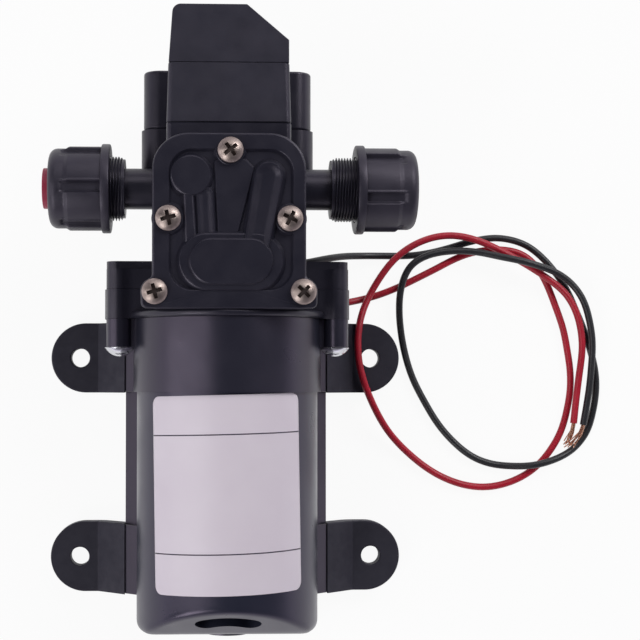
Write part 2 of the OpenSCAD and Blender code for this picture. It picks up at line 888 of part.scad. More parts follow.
module diaphragm() {
    color([0.2, 0.2, 0.22])
        translate([0, y_crank, 0])
            rotate_extrude()
                polygon([
                    [1.6, z_support], [7, z_support], [neck_r - 0.6, z_body - 2.4],
                    [neck_r, z_body - 2 + fit], [diaphragm_r, z_body - 2 + fit],
                    [diaphragm_r, z_body - fit], [neck_r - 0.4, z_body - fit],
                    [neck_r - 1.4, z_body - 1], [7, z_support + 1.5], [1.6, z_support + 1.5]
                ]);
}

module diaphragm_washer() {
    z = z_support + 1.5 + fit;
    color([0.75, 0.75, 0.77])
        difference() {
            zcyl(6.2, z, z + 1.1, [0, y_crank]);
            zcyl(1.6, z - 1, z + 2, [0, y_crank]);
        }
}

module diaphragm_screw() {
    z = z_support + 2.6 + 2 * fit;
    color([0.75, 0.75, 0.77]) {
        zcyl(1.5, z_screw_end, z + 0.4, [0, y_crank]);
        zcyl(2.8, z, z + 1.2, [0, y_crank]);
    }
}

module valve_plate() {
    color([0.2, 0.2, 0.22])
        difference() {
            head_layer(z_body, z_valve, 0.3);
            zcyl(neck_r, z_body - 1, z_body + 1.5, [0, y_crank]);
            screw_holes(screw_r + 0.15, z_body - 1, z_valve + 1);
            for (s = [-1, 1]) {
                zcyl(3, z_body - 1, z_valve + 1, [s * 8, y_port]);
                zcyl(1.1 + fit, z_body - 1, z_valve + 1, [s * valve_x, valve_y]);
                for (i = [0 : 5])
                    zcyl(0.8, z_body - 1, z_valve + 1,
                         [s * valve_x + 2.4 * cos(60 * i), valve_y + 2.4 * sin(60 * i)]);
            }
        }
}

module umbrella_valve(x, z0, z1, up) {
    translate([x, valve_y, 0]) {
        translate([0, 0, up ? z1 + fit : z0 - 1 - fit])
            cylinder(r = 3.5, h = 1);
        translate([0, 0, z0 - 1])
            cylinder(r = 1.1, h = z1 - z0 + 2);
        translate([0, 0, up ? z0 - 1.2 : z1 + fit])
            cylinder(r = 1.5, h = 1.2 - fit);
    }
}

module inlet_valve() {
    color([0.75, 0.72, 0.66])
        umbrella_valve(-valve_x, z_body + 1.5, z_valve, false);
}

module outlet_valve() {
    color([0.75, 0.72, 0.66])
        umbrella_valve(valve_x, z_body + 1.5, z_valve, true);
}

module cover_gasket() {
    color([0.1, 0.1, 0.11])
        difference() {
            head_layer(z_valve + fit, z_cover - fit, 0.5);
            screw_holes(screw_r + 0.15, z_valve - 1, z_cover + 1);
            translate([0, 0, z_valve - 1])
                linear_extrude(height = 3)
                    way_plan();
        }
}

// Ridge of a half round section between two points of the cover's panel
module ridge(a, b, r, sink) {
    d = b - a;
    translate([a.x, a.y, z_panel - sink])
        rotate([0, 0, atan2(d.y, d.x)])
            rotate([0, 90, 0])
                cylinder(r = r, h = norm(d));
}

module cover_relief() {
    zcyl(5, z_cover + 1, z_rim, [-9.5, y_cover + 33]);
    ridge([-10.2, y_cover + 28], [-9.2, y_cover + 17], 1.8, 0.8);
    ridge([-6.4, y_cover + 28], [-5.2, y_cover + 17], 1.8, 0.8);
    translate([0, y_cover, z_cover + 1])
        linear_extrude(height = z_panel + 0.6 - z_cover - 1)
            polygon([[-3.4, 18], [2.6, 18], [5.2, 36.6], [-4, 36.6]]);
    translate([0, y_cover, z_cover + 1])
        linear_extrude(height = z_panel + 1.5 - z_cover - 1)
            union() {
                translate([9.4, 33.8])
                    circle(4.1);
                polygon([[5.35, 34.4], [13.45, 33.2], [10.2, 15], [3.2, 15]]);
            }
    translate([0, 0, z_cover + 1])
        linear_extrude(height = z_panel + 0.8 - z_cover - 1)
            stadium([0, valve_y], 13.4, 6.7);
    translate([0, 0, z_cover + 1])
        linear_extrude(height = z_panel + 2 - z_cover - 1)
            stadium([0, valve_y], 11.9, 5.4);
}

module front_cover() {
    color([0.15, 0.15, 0.17])
        difference() {
            union() {
                difference() {
                    head_layer(z_cover, z_rim, 0);
                    translate([0, 0, z_panel])
                        linear_extrude(height = 5)
                            rounded([-cover_w / 2 + 3.4, y_cover + 3.7],
                                    [cover_w / 2 - 3.4, y_cover_top - 3.8], 6);
                }
                cover_relief();
                for (at = screw_at)
                    zcyl(screw_head_d / 2 + 0.4, z_cover + 1, z_rim, at);
            }
            translate([0, 0, z_cover - 1])
                linear_extrude(height = 2.4)
                    way_plan();
            screw_holes(screw_r + 0.15, z_cover - 1, z_rim + 5);
            screw_holes(screw_head_d / 2 + 0.3, z_rim, z_rim + 5);
        }
}

module cover_screws() {
    r = screw_head_d / 2;
    color([0.72, 0.68, 0.62])
        for (i = [0 : len(screw_at) - 1]) {
            zcyl(screw_r, z_body - 9, z_rim + 1, screw_at[i]);
            translate([screw_at[i].x, screw_at[i].y, z_rim + fit])
                difference() {
                    rotate_extrude()
                        intersection() {
                            translate([0, -r * 0.75])
                                circle(r * 1.45);
                            square([r, 3]);
                        }
                    for (a = [0, 90])
                        rotate([0, 0, screw_turn[i] + a])
                            translate([-1.95, -0.5, 1.1])
                                cube([3.9, 1, 3]);
                }
        }
}

// Mouth of each nut: the inlet's closes on its plug, the outlet's leads a hose in
function lip_r(side) = side < 0 ? socket_r : socket_r + 0.3;

// Union nut seen outwards from its flange, with six grip pads that start at angle a
module nut(side, x0, a) {
    r = nut_d / 2 - grip_h;
    e = 3;
    difference() {
        spin_port(side)
            difference() {
                union() {
                    translate([0, x0])
                        square([nut_flange_d / 2, 2.3]);
                    polygon([
                        [0, x0], [r + grip_h, x0], [r + grip_h, x0 + nut_len - 5.2],
                        [r, x0 + nut_len - 3.8], [0, x0 + nut_len - 3.8]
                    ]);
                    translate([0, x0])
                        square([r, nut_len - e]);
                    translate([0, x0])
                        square([r - e, nut_len]);
                    translate([r - e, x0 + nut_len - e])
                        circle(e);
                }
                translate([0, x0 - 1])
                    square([nut_bore_r, nut_len - nut_lip + 1]);
                square([lip_r(side), 200]);
            }
        for (i = [0 : 5])
            translate([0, y_port, z_port])
                rotate([60 * i + a, 0, 0])
                    translate([side > 0 ? x0 + 2.2 : -x0 - nut_len + 3.5, r - 0.2, -grip_w / 2])
                        cube([nut_len - 5.7, 3, grip_w]);
    }
}

module collet(side, x0) {
    x = x0 + nut_len - nut_lip;
    spin_port(side)
        difference() {
            union() {
                translate([0, x - collet_t])
                    square([nut_bore_r - 0.5, collet_t - 0.1]);
                translate([0, x - collet_t - tail_len])
                    square([seat_r - 0.4, tail_len + 0.1]);
            }
            square([socket_r, 200]);
            square([socket_r + 0.3, x - collet_t]);
        }
}

module seal_ring(side) {
    spin_port(side)
        translate([socket_r + 0.8, x_seal])
            circle(seal_r);
}

module inlet_nut() {
    color([0.15, 0.15, 0.17])
        nut(-1, x_inlet_nut, 34);
}

module outlet_nut() {
    color([0.15, 0.15, 0.17])
        nut(1, x_outlet_nut, 48);
}

module inlet_collet() {
    color([0.82, 0.82, 0.8])
        collet(-1, x_inlet_nut);
}

module outlet_collet() {
    color([0.82, 0.82, 0.8])
        collet(1, x_outlet_nut);
}

module inlet_seal() {
    color([0.1, 0.1, 0.11])
        seal_ring(-1);
}

module outlet_seal() {
    color([0.1, 0.1, 0.11])
        seal_ring(1);
}

module inlet_plug() {
    x = x_inlet_nut + nut_len;
    color([0.62, 0.16, 0.24])
        spin_port(-1)
            difference() {
                union() {
                    translate([0, x + 0.1])
                        square([tube_r + 0.4, 1.6]);
                    translate([0, x - 9])
                        square([tube_r, 9.2]);
                }
                translate([0, x - 10])
                    square([tube_r - 1.2, 9]);
            }
}

// Plan of the switch housing, with its cut corner when cut is set
module switch_plan(d, y0, y1, cut) {
    w = switch_w / 2 - d;
    r = 2.2;
    polygon(cut
        ? concat([[-w, y0], [w, y0], [w, y1 - 9 - d * 0.4], [w - 10.8, y1], [-w + 0.9 + r, y1]],
                 arc([-w + 0.9 + r, y1 - r], r, 90, 180, 6))
        : [[-w, y0], [w, y0], [w, y1], [-w, y1]]);
}

module switch_base() {
    color([0.17, 0.17, 0.19])
        difference() {
            translate([0, 0, z_switch_low])
                linear_extrude(height = switch_depth)
                    switch_plan(0, y_switch, y_switch_seam - fit, false);
            translate([0, 0, z_switch_low + switch_wall])
                linear_extrude(height = switch_depth - 2 * switch_wall)
                    switch_plan(switch_wall, y_switch + 4, y_switch_seam + 1, false);
            ycyl(7.4 + fit, y_switch - 1, y_switch + 1.4, 0, z_switch);
            ycyl(plunger_r + 0.2, y_switch, y_switch + 5, 0, z_switch);
        }
}

module switch_cap() {
    color([0.17, 0.17, 0.19])
        difference() {
            translate([0, 0, z_switch_low + 0.3])
                linear_extrude(height = switch_depth - 0.6)
                    switch_plan(0.4, y_switch_seam + fit, y_switch_top, true);
            translate([0, 0, z_switch_low + switch_wall])
                linear_extrude(height = switch_depth - 2 * switch_wall)
                    switch_plan(switch_wall, y_switch_seam - 1, y_switch_top - switch_wall - 1, true);
            ycyl(3 + fit, y_switch_top - 6, y_switch_top + 1, -4, z_switch);
        }
}

module switch_diaphragm() {
    color([0.12, 0.12, 0.13])
        ycyl(7.4, y_switch + fit, y_switch + 1.3, 0, z_switch);
}

module switch_plunger() {
    color([0.88, 0.88, 0.86]) {
        ycyl(plunger_r, y_switch + 1.3 + clear, y_switch + 3.4, 0, z_switch);
        ycyl(3, y_switch + 3, y_switch + 7, 0, z_switch);
        block([-7.4, y_switch + 5.4, z_switch - 2.4], [9.4, y_switch + 7, z_switch + 2.4]);
    }
}

// Coil of the return spring round a line along Y
module switch_spring() {
    y0 = y_switch + 7 + 0.5;
    y1 = y_switch_top - 5.5;
    turns = 6;
    steps = 14;
    n = turns * steps;
    p = [
        for (i = [0 : n])
            [-4 + 2.4 * cos(360 * i / steps), y0 + (y1 - y0) * i / n, z_switch + 2.4 * sin(360 * i / steps)]
    ];
    color([0.78, 0.78, 0.8])
        tube_round(p, 0.4, 6);
}

// Tube whose rings stay square to the coil
module tube_round(p, r, n) {
    m = len(p);
    points = [
        for (i = [0 : m - 1])
            let (t = heading(p, i), u = unit([p[i].x + 4, 0, p[i].z - z_switch]), v = cross(u, t))
                each [for (k = [0 : n - 1]) p[i] + r * (cos(360 * k / n) * u + sin(360 * k / n) * v)]
    ];
    sides = [
        for (i = [0 : m - 2], k = [0 : n - 1])
            each [
                [i * n + k, (i + 1) * n + k, i * n + (k + 1) % n],
                [i * n + (k + 1) % n, (i + 1) * n + k, (i + 1) * n + (k + 1) % n]
            ]
    ];
    start = [for (k = [0 : n - 1]) k];
    finish = [for (k = [n - 1 : -1 : 0]) (m - 1) * n + k];
    polyhedron(points, concat(sides, [start], [finish]), convexity = 10);
}

module adjusting_screw() {
    color([0.72, 0.7, 0.66])
        difference() {
            ycyl(3, y_switch_top - 5, y_switch_top - 0.4, -4, z_switch);
            ycyl(1.4, y_switch_top - 2.4, y_switch_top, -4, z_switch, $fn = 6);
        }
}

module micro_switch() {
    color([0.2, 0.2, 0.24]) {
        block([3.4, y_switch + 9.6, z_switch - 3.2], [13.4, y_switch_seam + 2.4, z_switch + 3.2]);
        ycyl(1, y_switch + 8.2, y_switch + 9.8, 7.4, z_switch);
    }
}

module lead_grommets() {
    color([0.1, 0.1, 0.11])
        for (y = [red_route[0].y, black_route[0].y])
            difference() {
                union() {
                    xcyl(lead_r + 0.6, bore_r + 0.4, grommet_x, y, 15);
                    xcyl(lead_r + 1.3, cover_w / 2 - 1.2 + fit, grommet_x, y, 15);
                }
                xcyl(lead_r * 0.6, 10, grommet_x + 1, y, 15);
            }
}

module red_lead() {
    color([0.69, 0.16, 0.26])
        tube(red_route, lead_r, 8);
}

module black_lead() {
    color([0.17, 0.17, 0.19])
        tube(black_route, lead_r, 8);
}

// Bare strands that go on past the end of a lead
module bare_end(route, length) {
    last = route[len(route) - 1];
    d = unit(last - route[len(route) - 2]);
    translate(last + fit * d)
        rotate([0, 0, atan2(d.y, d.x)])
            rotate([0, 90, 0])
                cylinder(r = 0.55, h = length, $fn = 24);
}

module red_lead_end() {
    color([0.71, 0.45, 0.37])
        bare_end(red_route, 6.2);
}

module black_lead_end() {
    color([0.71, 0.45, 0.37])
        bare_end(black_route, 5.8);
}

base_bracket();
foot_upper_left();
foot_upper_right();
foot_lower_left();
foot_lower_right();
motor_can();
rear_bearing();
field_magnets();
motor_adapter();
front_bearing();
brush_card();
carbon_brushes();
motor_shaft();
armature_core();
armature_winding();
commutator();
crank_plate();
clamp_screws();
pump_body();
chamber_cap();
eccentric();
bearing_inner_race();
bearing_balls();
bearing_outer_race();
connecting_rod();
diaphragm();
diaphragm_washer();
diaphragm_screw();
valve_plate();
inlet_valve();
outlet_valve();
cover_gasket();
front_cover();
cover_screws();
inlet_nut();
outlet_nut();
inlet_collet();
outlet_collet();
inlet_seal();
outlet_seal();
inlet_plug();
switch_base();
switch_cap();
switch_diaphragm();
switch_plunger();
switch_spring();
adjusting_screw();
micro_switch();
lead_grommets();
red_lead();
black_lead();
red_lead_end();
black_lead_end();
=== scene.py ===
import json
import math

import bpy
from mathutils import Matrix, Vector


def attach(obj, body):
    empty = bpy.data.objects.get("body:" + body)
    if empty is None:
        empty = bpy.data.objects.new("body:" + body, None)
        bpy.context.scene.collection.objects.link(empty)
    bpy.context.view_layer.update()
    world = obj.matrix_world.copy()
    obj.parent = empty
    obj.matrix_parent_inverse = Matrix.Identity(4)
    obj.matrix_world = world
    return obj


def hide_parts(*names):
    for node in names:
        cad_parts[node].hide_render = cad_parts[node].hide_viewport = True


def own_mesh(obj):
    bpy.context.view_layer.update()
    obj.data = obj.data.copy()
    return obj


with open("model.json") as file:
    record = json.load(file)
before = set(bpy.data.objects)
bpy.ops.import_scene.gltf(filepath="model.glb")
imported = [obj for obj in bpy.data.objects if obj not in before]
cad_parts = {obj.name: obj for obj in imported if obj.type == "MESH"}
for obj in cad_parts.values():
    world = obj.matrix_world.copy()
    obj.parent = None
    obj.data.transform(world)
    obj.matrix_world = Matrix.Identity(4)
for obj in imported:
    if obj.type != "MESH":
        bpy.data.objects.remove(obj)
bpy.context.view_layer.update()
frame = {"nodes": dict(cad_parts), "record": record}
nodes = frame["nodes"]
scene = bpy.context.scene
scene.view_settings.view_transform = "Standard"

# Lengths are written in millimetres in the CAD's frame, and MM turns them into metres
MM = 0.001
AXIS_Z = 29.0
CAN_R = 24.3
PORT_Y = 72.6
PORT_Z = 36.0
FULL_TURN = 2 * math.pi


def metres(point):
    return tuple(c * MM for c in point)


# Camera, looking down on the pump
CAMERA_PLACE = (-6.908, 21.534, 429.705)
CAMERA_TURN = (0.01986, -0.03659, 0.00051)
CAMERA_SENSOR = 36.0
CAMERA_LENS = 83.42
CAMERA_SHIFT = (0.10, 0.05)
CAMERA_NEAR = 10.0


def make_camera():
    data = bpy.data.cameras.new("camera")
    data.sensor_width = CAMERA_SENSOR
    data.lens = CAMERA_LENS
    data.shift_x = CAMERA_SHIFT[0]
    data.shift_y = CAMERA_SHIFT[1]
    data.clip_start = CAMERA_NEAR * MM
    camera = bpy.data.objects.new("camera", data)
    camera.location = metres(CAMERA_PLACE)
    camera.rotation_euler = CAMERA_TURN
    scene.collection.objects.link(camera)
    scene.camera = camera


make_camera()


# Colours are written as sRGB values from 0 to 255
def rgb(r, g, b):
    def linear(c):
        c /= 255.0
        return c / 12.92 if c <= 0.04045 else ((c + 0.055) / 1.055) ** 2.4

    return (linear(r), linear(g), linear(b), 1.0)


EVEN = (1, 1, 1)
NOISE_LOW = 0.3
NOISE_HIGH = 0.7
TONE_DETAIL = 4.0
GRAIN_DETAIL = 2.0


class Surface:
    """A Principled material whose tone, roughness and bump come from noise in the object's own space."""

    def __init__(self, name, color, rough, metallic=0.0, specular=0.5, tint=(1, 1, 1, 1)):
        self.material = bpy.data.materials.new(name)
        self.material.use_nodes = True
        self.tree = self.material.node_tree
        self.shader = self.tree.nodes["Principled BSDF"]
        self.color = color
        self.shader.inputs["Base Color"].default_value = color
        self.shader.inputs["Roughness"].default_value = rough
        self.shader.inputs["Metallic"].default_value = metallic
        self.shader.inputs["Specular IOR Level"].default_value = specular
        self.shader.inputs["Specular Tint"].default_value = tint
        self.space = self.tree.nodes.new("ShaderNodeTexCoord").outputs["Object"]
        self.normal = None

    def link(self, a, b):
        self.tree.links.new(a, b)

    def noise(self, scale, detail, stretch):
        node = self.tree.nodes.new("ShaderNodeTexNoise")
        node.inputs["Scale"].default_value = scale
        node.inputs["Detail"].default_value = detail
        if stretch != EVEN:
            mapping = self.tree.nodes.new("ShaderNodeMapping")
            mapping.inputs["Scale"].default_value = stretch
            self.link(self.space, mapping.inputs["Vector"])
            self.link(mapping.outputs["Vector"], node.inputs["Vector"])
        else:
            self.link(self.space, node.inputs["Vector"])
        return node.outputs["Fac"]

    def spread(self, value, low, high):
        node = self.tree.nodes.new("ShaderNodeMapRange")
        node.inputs["From Min"].default_value = NOISE_LOW
        node.inputs["From Max"].default_value = NOISE_HIGH
        node.inputs["To Min"].default_value = low
        node.inputs["To Max"].default_value = high
        self.link(value, node.inputs["Value"])
        return node.outputs["Result"]

    def tone(self, scale, other, amount=1.0, stretch=EVEN):
        mix = self.tree.nodes.new("ShaderNodeMix")
        mix.data_type = "RGBA"
        mix.inputs["A"].default_value = self.color
        mix.inputs["B"].default_value = other
        noise = self.noise(scale, TONE_DETAIL, stretch)
        self.link(self.spread(noise, 0.0, amount), mix.inputs["Factor"])
        self.link(mix.outputs["Result"], self.shader.inputs["Base Color"])

    def gloss(self, scale, low, high, stretch=EVEN):
        noise = self.noise(scale, TONE_DETAIL, stretch)
        self.link(self.spread(noise, low, high), self.shader.inputs["Roughness"])

    def grain(self, scale, depth, strength, stretch=EVEN):
        bump = self.tree.nodes.new("ShaderNodeBump")
        bump.inputs["Strength"].default_value = strength
        bump.inputs["Distance"].default_value = depth * MM
        self.link(self.noise(scale, GRAIN_DETAIL, stretch), bump.inputs["Height"])
        if self.normal is not None:
            self.link(self.normal, bump.inputs["Normal"])
        self.normal = bump.outputs["Normal"]
        self.link(self.normal, self.shader.inputs["Normal"])


# Gloss of the plastics and rubbers, and of the paint and the skirt: both a little violet
MOULDED_GLOSS = (0.92, 0.84, 1.0, 1)
COAT_GLOSS = (0.9, 0.76, 1.0, 1)


def moulded(name, color, other, rough):
    surface = Surface(name, color, rough, specular=0.54, tint=MOULDED_GLOSS)
    surface.tone(90, other)
    surface.gloss(160, rough - 0.05, rough + 0.07)
    surface.grain(5200, depth=0.03, strength=0.5)
    surface.grain(260, depth=0.06, strength=0.35)
    return surface.material


def rubber(name, color, other):
    surface = Surface(name, color, rough=0.62, specular=0.38, tint=MOULDED_GLOSS)
    surface.tone(240, other)
    surface.gloss(420, 0.54, 0.74)
    surface.grain(3600, depth=0.05, strength=0.6)
    return surface.material


def metal(name, color, other, rough, stretch=EVEN, grain=0.5):
    surface = Surface(name, color, rough, metallic=1.0)
    surface.tone(700, other, 0.8, stretch)
    surface.gloss(1500, rough - 0.06, rough + 0.12, stretch)
    surface.grain(3200, depth=0.012, strength=grain, stretch=stretch)
    return surface.material


def coated(name, color, other):
    surface = Surface(name, color, rough=0.31, specular=0.64, tint=COAT_GLOSS)
    surface.tone(70, other)
    surface.gloss(120, 0.27, 0.36)
    surface.grain(2600, depth=0.03, strength=0.35)
    surface.grain(420, depth=0.05, strength=0.25)
    return surface.material


def sheath(name, color, other):
    surface = Surface(name, color, rough=0.38)
    surface.tone(130, other)
    surface.gloss(300, 0.34, 0.48)
    surface.grain(2400, depth=0.03, strength=0.35)
    return surface.material


# One finish for each of the CAD's material slots
MATERIALS = {
    "black_plastic": moulded("head_plastic", rgb(29, 29, 39), rgb(34, 34, 44), 0.34),
    "nut_plastic": moulded("union_plastic", rgb(35, 34, 43), rgb(43, 41, 51), 0.42),
    "switch_plastic": moulded("switch_plastic", rgb(36, 36, 45), rgb(42, 42, 52), 0.44),
    "foot_rubber": rubber("foot_rubber", rgb(43, 43, 51), rgb(49, 49, 57)),
    "seal_rubber": rubber("seal_rubber", rgb(24, 24, 26), rgb(30, 30, 33)),
    "valve_rubber": rubber("valve_rubber", rgb(196, 190, 178), rgb(184, 178, 166)),
    "valve_plastic": moulded("valve_plastic", rgb(40, 40, 46), rgb(46, 46, 52), 0.45),
    "white_plastic": moulded("natural_plastic", rgb(218, 217, 211), rgb(208, 207, 200), 0.42),
    "plug_plastic": moulded("plug_plastic", rgb(168, 52, 74), rgb(152, 42, 62), 0.42),
    "card": moulded("phenolic", rgb(112, 80, 48), rgb(96, 66, 38), 0.55),
    "carbon": rubber("graphite", rgb(34, 34, 36), rgb(46, 46, 48)),
    "ferrite": rubber("ferrite", rgb(76, 76, 80), rgb(66, 66, 70)),
    "core_steel": metal("lamination_steel", rgb(132, 132, 138), rgb(112, 112, 118), 0.42, (1, 12, 1)),
    "steel": metal("ground_steel", rgb(196, 196, 200), rgb(180, 180, 186), 0.28),
    "screw_steel": metal("stainless_steel", rgb(170, 156, 150), rgb(146, 132, 126), 0.38),
    "bronze": metal("sintered_bronze", rgb(182, 144, 84), rgb(162, 124, 68), 0.45),
    "copper": metal("bare_copper", rgb(206, 134, 104), rgb(186, 110, 80), 0.34, (1, 6, 1)),
    "can_paint": coated("can_paint", rgb(33, 36, 49), rgb(37, 40, 53)),
    "bracket_paint": coated("bracket_paint", rgb(35, 35, 41), rgb(41, 40, 47)),
    "red_insulation": sheath("red_sheath", rgb(186, 26, 50), rgb(168, 20, 42)),
    "black_insulation": sheath("black_sheath", rgb(33, 33, 37), rgb(41, 41, 45)),
}

# Nodes that look different from their slot
OWN_FINISH = {
    "motor_adapter": coated("skirt_plastic", rgb(32, 33, 43), rgb(36, 37, 47)),
    "clamp_screws": metal("zinc_plate", rgb(216, 216, 222), rgb(196, 196, 202), 0.13, grain=0.15),
}

# Width of the softened edges of the CAD's nodes
EDGES = {
    "motor_adapter": 0.45,
    "crank_plate": 0.4,
    "pump_body": 0.5,
    "chamber_cap": 0.7,
    "switch_cap": 0.5,
    "valve_plate": 0.25,
    "inlet_plug": 0.35,
    "base_bracket": 0.25,
    "foot_upper_left": 0.45,
    "foot_upper_right": 0.45,
    "foot_lower_left": 0.45,
    "foot_lower_right": 0.45,
    "cover_screws": 0.15,
    "clamp_screws": 0.3,
    "inlet_collet": 0.2,
    "outlet_collet": 0.2,
    "lead_grommets": 0.2,
    "cover_gasket": 0.1,
}
WELD_GAP = 0.002
FLAT_ANGLE = math.radians(0.6)
EDGE_ANGLE = math.radians(32)
EDGE_SEGMENTS = 3


def soften(piece, width):
    weld = piece.modifiers.new("weld", "WELD")
    weld.merge_threshold = WELD_GAP * MM
    faces = piece.modifiers.new("faces", "DECIMATE")
    faces.decimate_type = "DISSOLVE"
    faces.angle_limit = FLAT_ANGLE
    bevel = piece.modifiers.new("edges", "BEVEL")
    bevel.width = width * MM
    bevel.segments = EDGE_SEGMENTS
    bevel.limit_method = "ANGLE"
    bevel.angle_limit = EDGE_ANGLE
    bevel.use_clamp_overlap = True
    bevel.harden_normals = True
    normals = piece.modifiers.new("normals", "WEIGHTED_NORMAL")
    normals.keep_sharp = False


slot_of = {s["node"]: s["material_slot"] for s in frame["record"]["subparts"]}
for name, node in nodes.items():
    node.data.materials.clear()
    node.data.materials.append(OWN_FINISH.get(name, MATERIALS[slot_of[name]]))
    if name in EDGES:
        soften(node, EDGES[name])


# Helpers for pieces of the scene's own
def add_mesh(name, points, faces, body, slot, material=None, smooth=True):
    mesh = bpy.data.meshes.new(name)
    mesh.from_pydata([Vector(p) * MM for p in points], [], faces)
    mesh.materials.append(material or MATERIALS[slot])
    if smooth:
        mesh.polygons.foreach_set("use_smooth", [True] * len(mesh.polygons))
    mesh.update()
    piece = bpy.data.objects.new(name, mesh)
    scene.collection.objects.link(piece)
    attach(piece, body)
    return piece


def sharpen(piece, degrees):
    """Keeps the edges sharp at which faces meet at more than this angle."""
    piece.data.set_sharp_from_angle(angle=math.radians(degrees))


def even_normals(piece):
    """Lets flat faces shade flat beside rounded edges."""
    normals = piece.modifiers.new("normals", "WEIGHTED_NORMAL")
    normals.keep_sharp = True


def thicken(piece, depth):
    """Gives a sheet a thickness below its face."""
    sheet = piece.modifiers.new("thickness", "SOLIDIFY")
    sheet.thickness = depth * MM
    sheet.offset = -1


def faces_between(count, rows, steps):
    """Faces from each column of points to the next, all the way round."""
    faces = []
    for k in range(count):
        a = k * rows
        b = (k + 1) % count * rows
        for j in range(steps):
            n = (j + 1) % rows
            faces.append((a + j, b + j, b + n, a + n))
    return faces


def closed(columns):
    """Points and faces of a shell from columns that go round it, with a face at each end."""
    count = len(columns)
    rows = len(columns[0])
    points = [p for column in columns for p in column]
    faces = faces_between(count, rows, rows - 1)
    faces.append(tuple(k * rows + rows - 1 for k in range(count)))
    faces.append(tuple(k * rows for k in range(count - 1, -1, -1)))
    return points, faces


def ring(columns):
    """Points and faces of a ring from columns that each go round its section."""
    rows = len(columns[0])
    points = [p for column in columns for p in column]
    return points, faces_between(len(columns), rows, rows)


def joined(shells):
    """Points and faces of several shells as one."""
    points = []
    faces = []
    for shell_points, shell_faces in shells:
        base = len(points)
        faces += [tuple(base + i for i in face) for face in shell_faces]
        points += shell_points
    return points, faces


def flipped(faces):
    """The same faces, looking the other way."""
    return [face[::-1] for face in faces]


def tube(path, radius, sides):
    """Points and faces of a tube along path. Its faces are turned over on their first corner."""
    last = len(path) - 1
    columns = [[] for k in range(sides)]
    for i, place in enumerate(path):
        ahead = (path[min(i + 1, last)] - path[max(i - 1, 0)]).normalized()
        across = ahead.cross(Vector((0, 0, 1))).normalized()
        up = across.cross(ahead)
        for k in range(sides):
            a = FULL_TURN * k / sides
            columns[k].append(place + radius * (math.cos(a) * across + math.sin(a) * up))
    points, faces = closed(columns)
    return points, [face[:1] + face[:0:-1] for face in faces]


def prism(section, side, y0, y1):
    """A bar along Y with a section of (x, z), on the left side (-1) or the right (1)."""
    points, faces = closed([[(side * x, y0, z), (side * x, y1, z)] for x, z in section])
    return points, faces if side < 0 else flipped(faces)


def eased(t):
    """A share from 0 to 1 that starts and ends level."""
    return t * t * (3 - 2 * t)


# Leads: routes from the grommet to the stripped end
RED_ROUTE = [
    (20.4, 43.2, 15), (24, 43.3, 13.6), (28, 43.5, 9.6), (32, 43.9, 5.2), (35.5, 44.4, 2.4),
    (39, 45.2, 1.2), (43.5, 46.3, 1.1), (47.5, 47.8, 1.1),
    (51.5, 49.5, 1.1), (56.5, 52, 1.1), (61.5, 54.5, 1.1), (66, 57, 1.1), (71, 59, 1.1),
    (76.5, 60, 1.1), (81.5, 60, 1.1), (86, 59, 1.1), (89.5, 56.5, 1.1), (92.5, 52.5, 1.1),
    (94.5, 48, 1.1), (96.5, 42.5, 1.1), (98.5, 37, 1.1), (99.5, 31, 1.1), (100.5, 25, 1.1),
    (100.5, 19, 1.1), (99.5, 13.5, 1.1), (98, 7.5, 1.1), (95, 2, 1.1), (90.5, -3.5, 1.1),
    (84, -7.5, 1.1), (76, -9.5, 1.1), (68, -8.5, 1.1), (60, -5, 1.1), (53, 0.5, 1.4),
    (47, 6.5, 3.2), (43, 13, 5.6), (40, 19.5, 7), (38, 26, 7.4), (37.5, 32.5, 7.2),
    (38.2, 39, 6.4), (40.5, 45, 4.6), (44, 51, 3.9), (48, 56.5, 3.8), (53, 60.5, 3.7),
    (58.5, 63, 3.7), (64, 64, 3.7), (69.5, 63.5, 3.7), (75.5, 61.5, 3.7), (81.5, 58.5, 3.7),
    (88, 55, 3.7), (94, 51, 3.7), (98.5, 47.5, 3.7), (101.5, 42.5, 3.7), (103, 37, 3.7),
    (103.5, 31, 3.7), (102.5, 24.5, 3.7), (101.5, 17, 3.7), (100.7, 9.5, 3.7),
]
BLACK_ROUTE = [
    (20.4, 54.5, 15), (24, 55.2, 14), (29, 56.5, 10.4), (34, 57.5, 6), (38, 57.8, 3.2),
    (42, 58, 1.6), (47.5, 58, 1.1), (54, 58, 1.1),
    (60, 59, 1.1), (65.5, 60.5, 1.1), (70, 62, 1.1), (74.5, 63, 1.1), (78.5, 63.5, 1.1),
    (83, 63, 1.1), (87.5, 61.5, 1.1), (91, 59, 1.1), (94.5, 55.5, 1.1), (97.5, 51.5, 1.1),
    (100, 47.5, 1.1), (102, 42.5, 1.1), (104, 38, 1.1), (105.5, 33.5, 1.1), (107, 28.5, 1.1),
    (108, 23.5, 1.1), (108, 18, 1.1), (107, 12.5, 1.1), (105.5, 7, 1.1), (102, 2.5, 1.2),
    (98, 0, 2.7), (92.5, -2, 3.8), (87.5, -3, 3.1), (82, -3, 1.2), (77, -2.5, 1.1),
    (71.5, -0.5, 1.1), (66.5, 3.5, 1.1), (61.5, 9, 1.1), (57.5, 16, 1.1), (54, 22.5, 1.1),
    (51.8, 30, 1.1), (50.6, 37, 1.3), (50, 43.5, 3), (50.5, 49, 3.7), (52.5, 54.5, 3.7),
    (56.5, 57.5, 3.7), (61.5, 59, 3.7), (67.5, 59.5, 3.7), (73.5, 59, 4.2), (79, 57.5, 5.6),
    (84.5, 56.5, 6.4), (90, 55, 6.2), (96.5, 53, 4.3), (101, 49.5, 3.7), (104, 45, 3.7),
    (105.5, 39.5, 3.7), (106.5, 33, 3.7), (106, 26.5, 3.7), (105.5, 20.5, 3.7),
    (104.5, 14.5, 3.7), (103.5, 9, 3.7),
]
LEAD_D = 2.0
LEAD_STEPS = 6
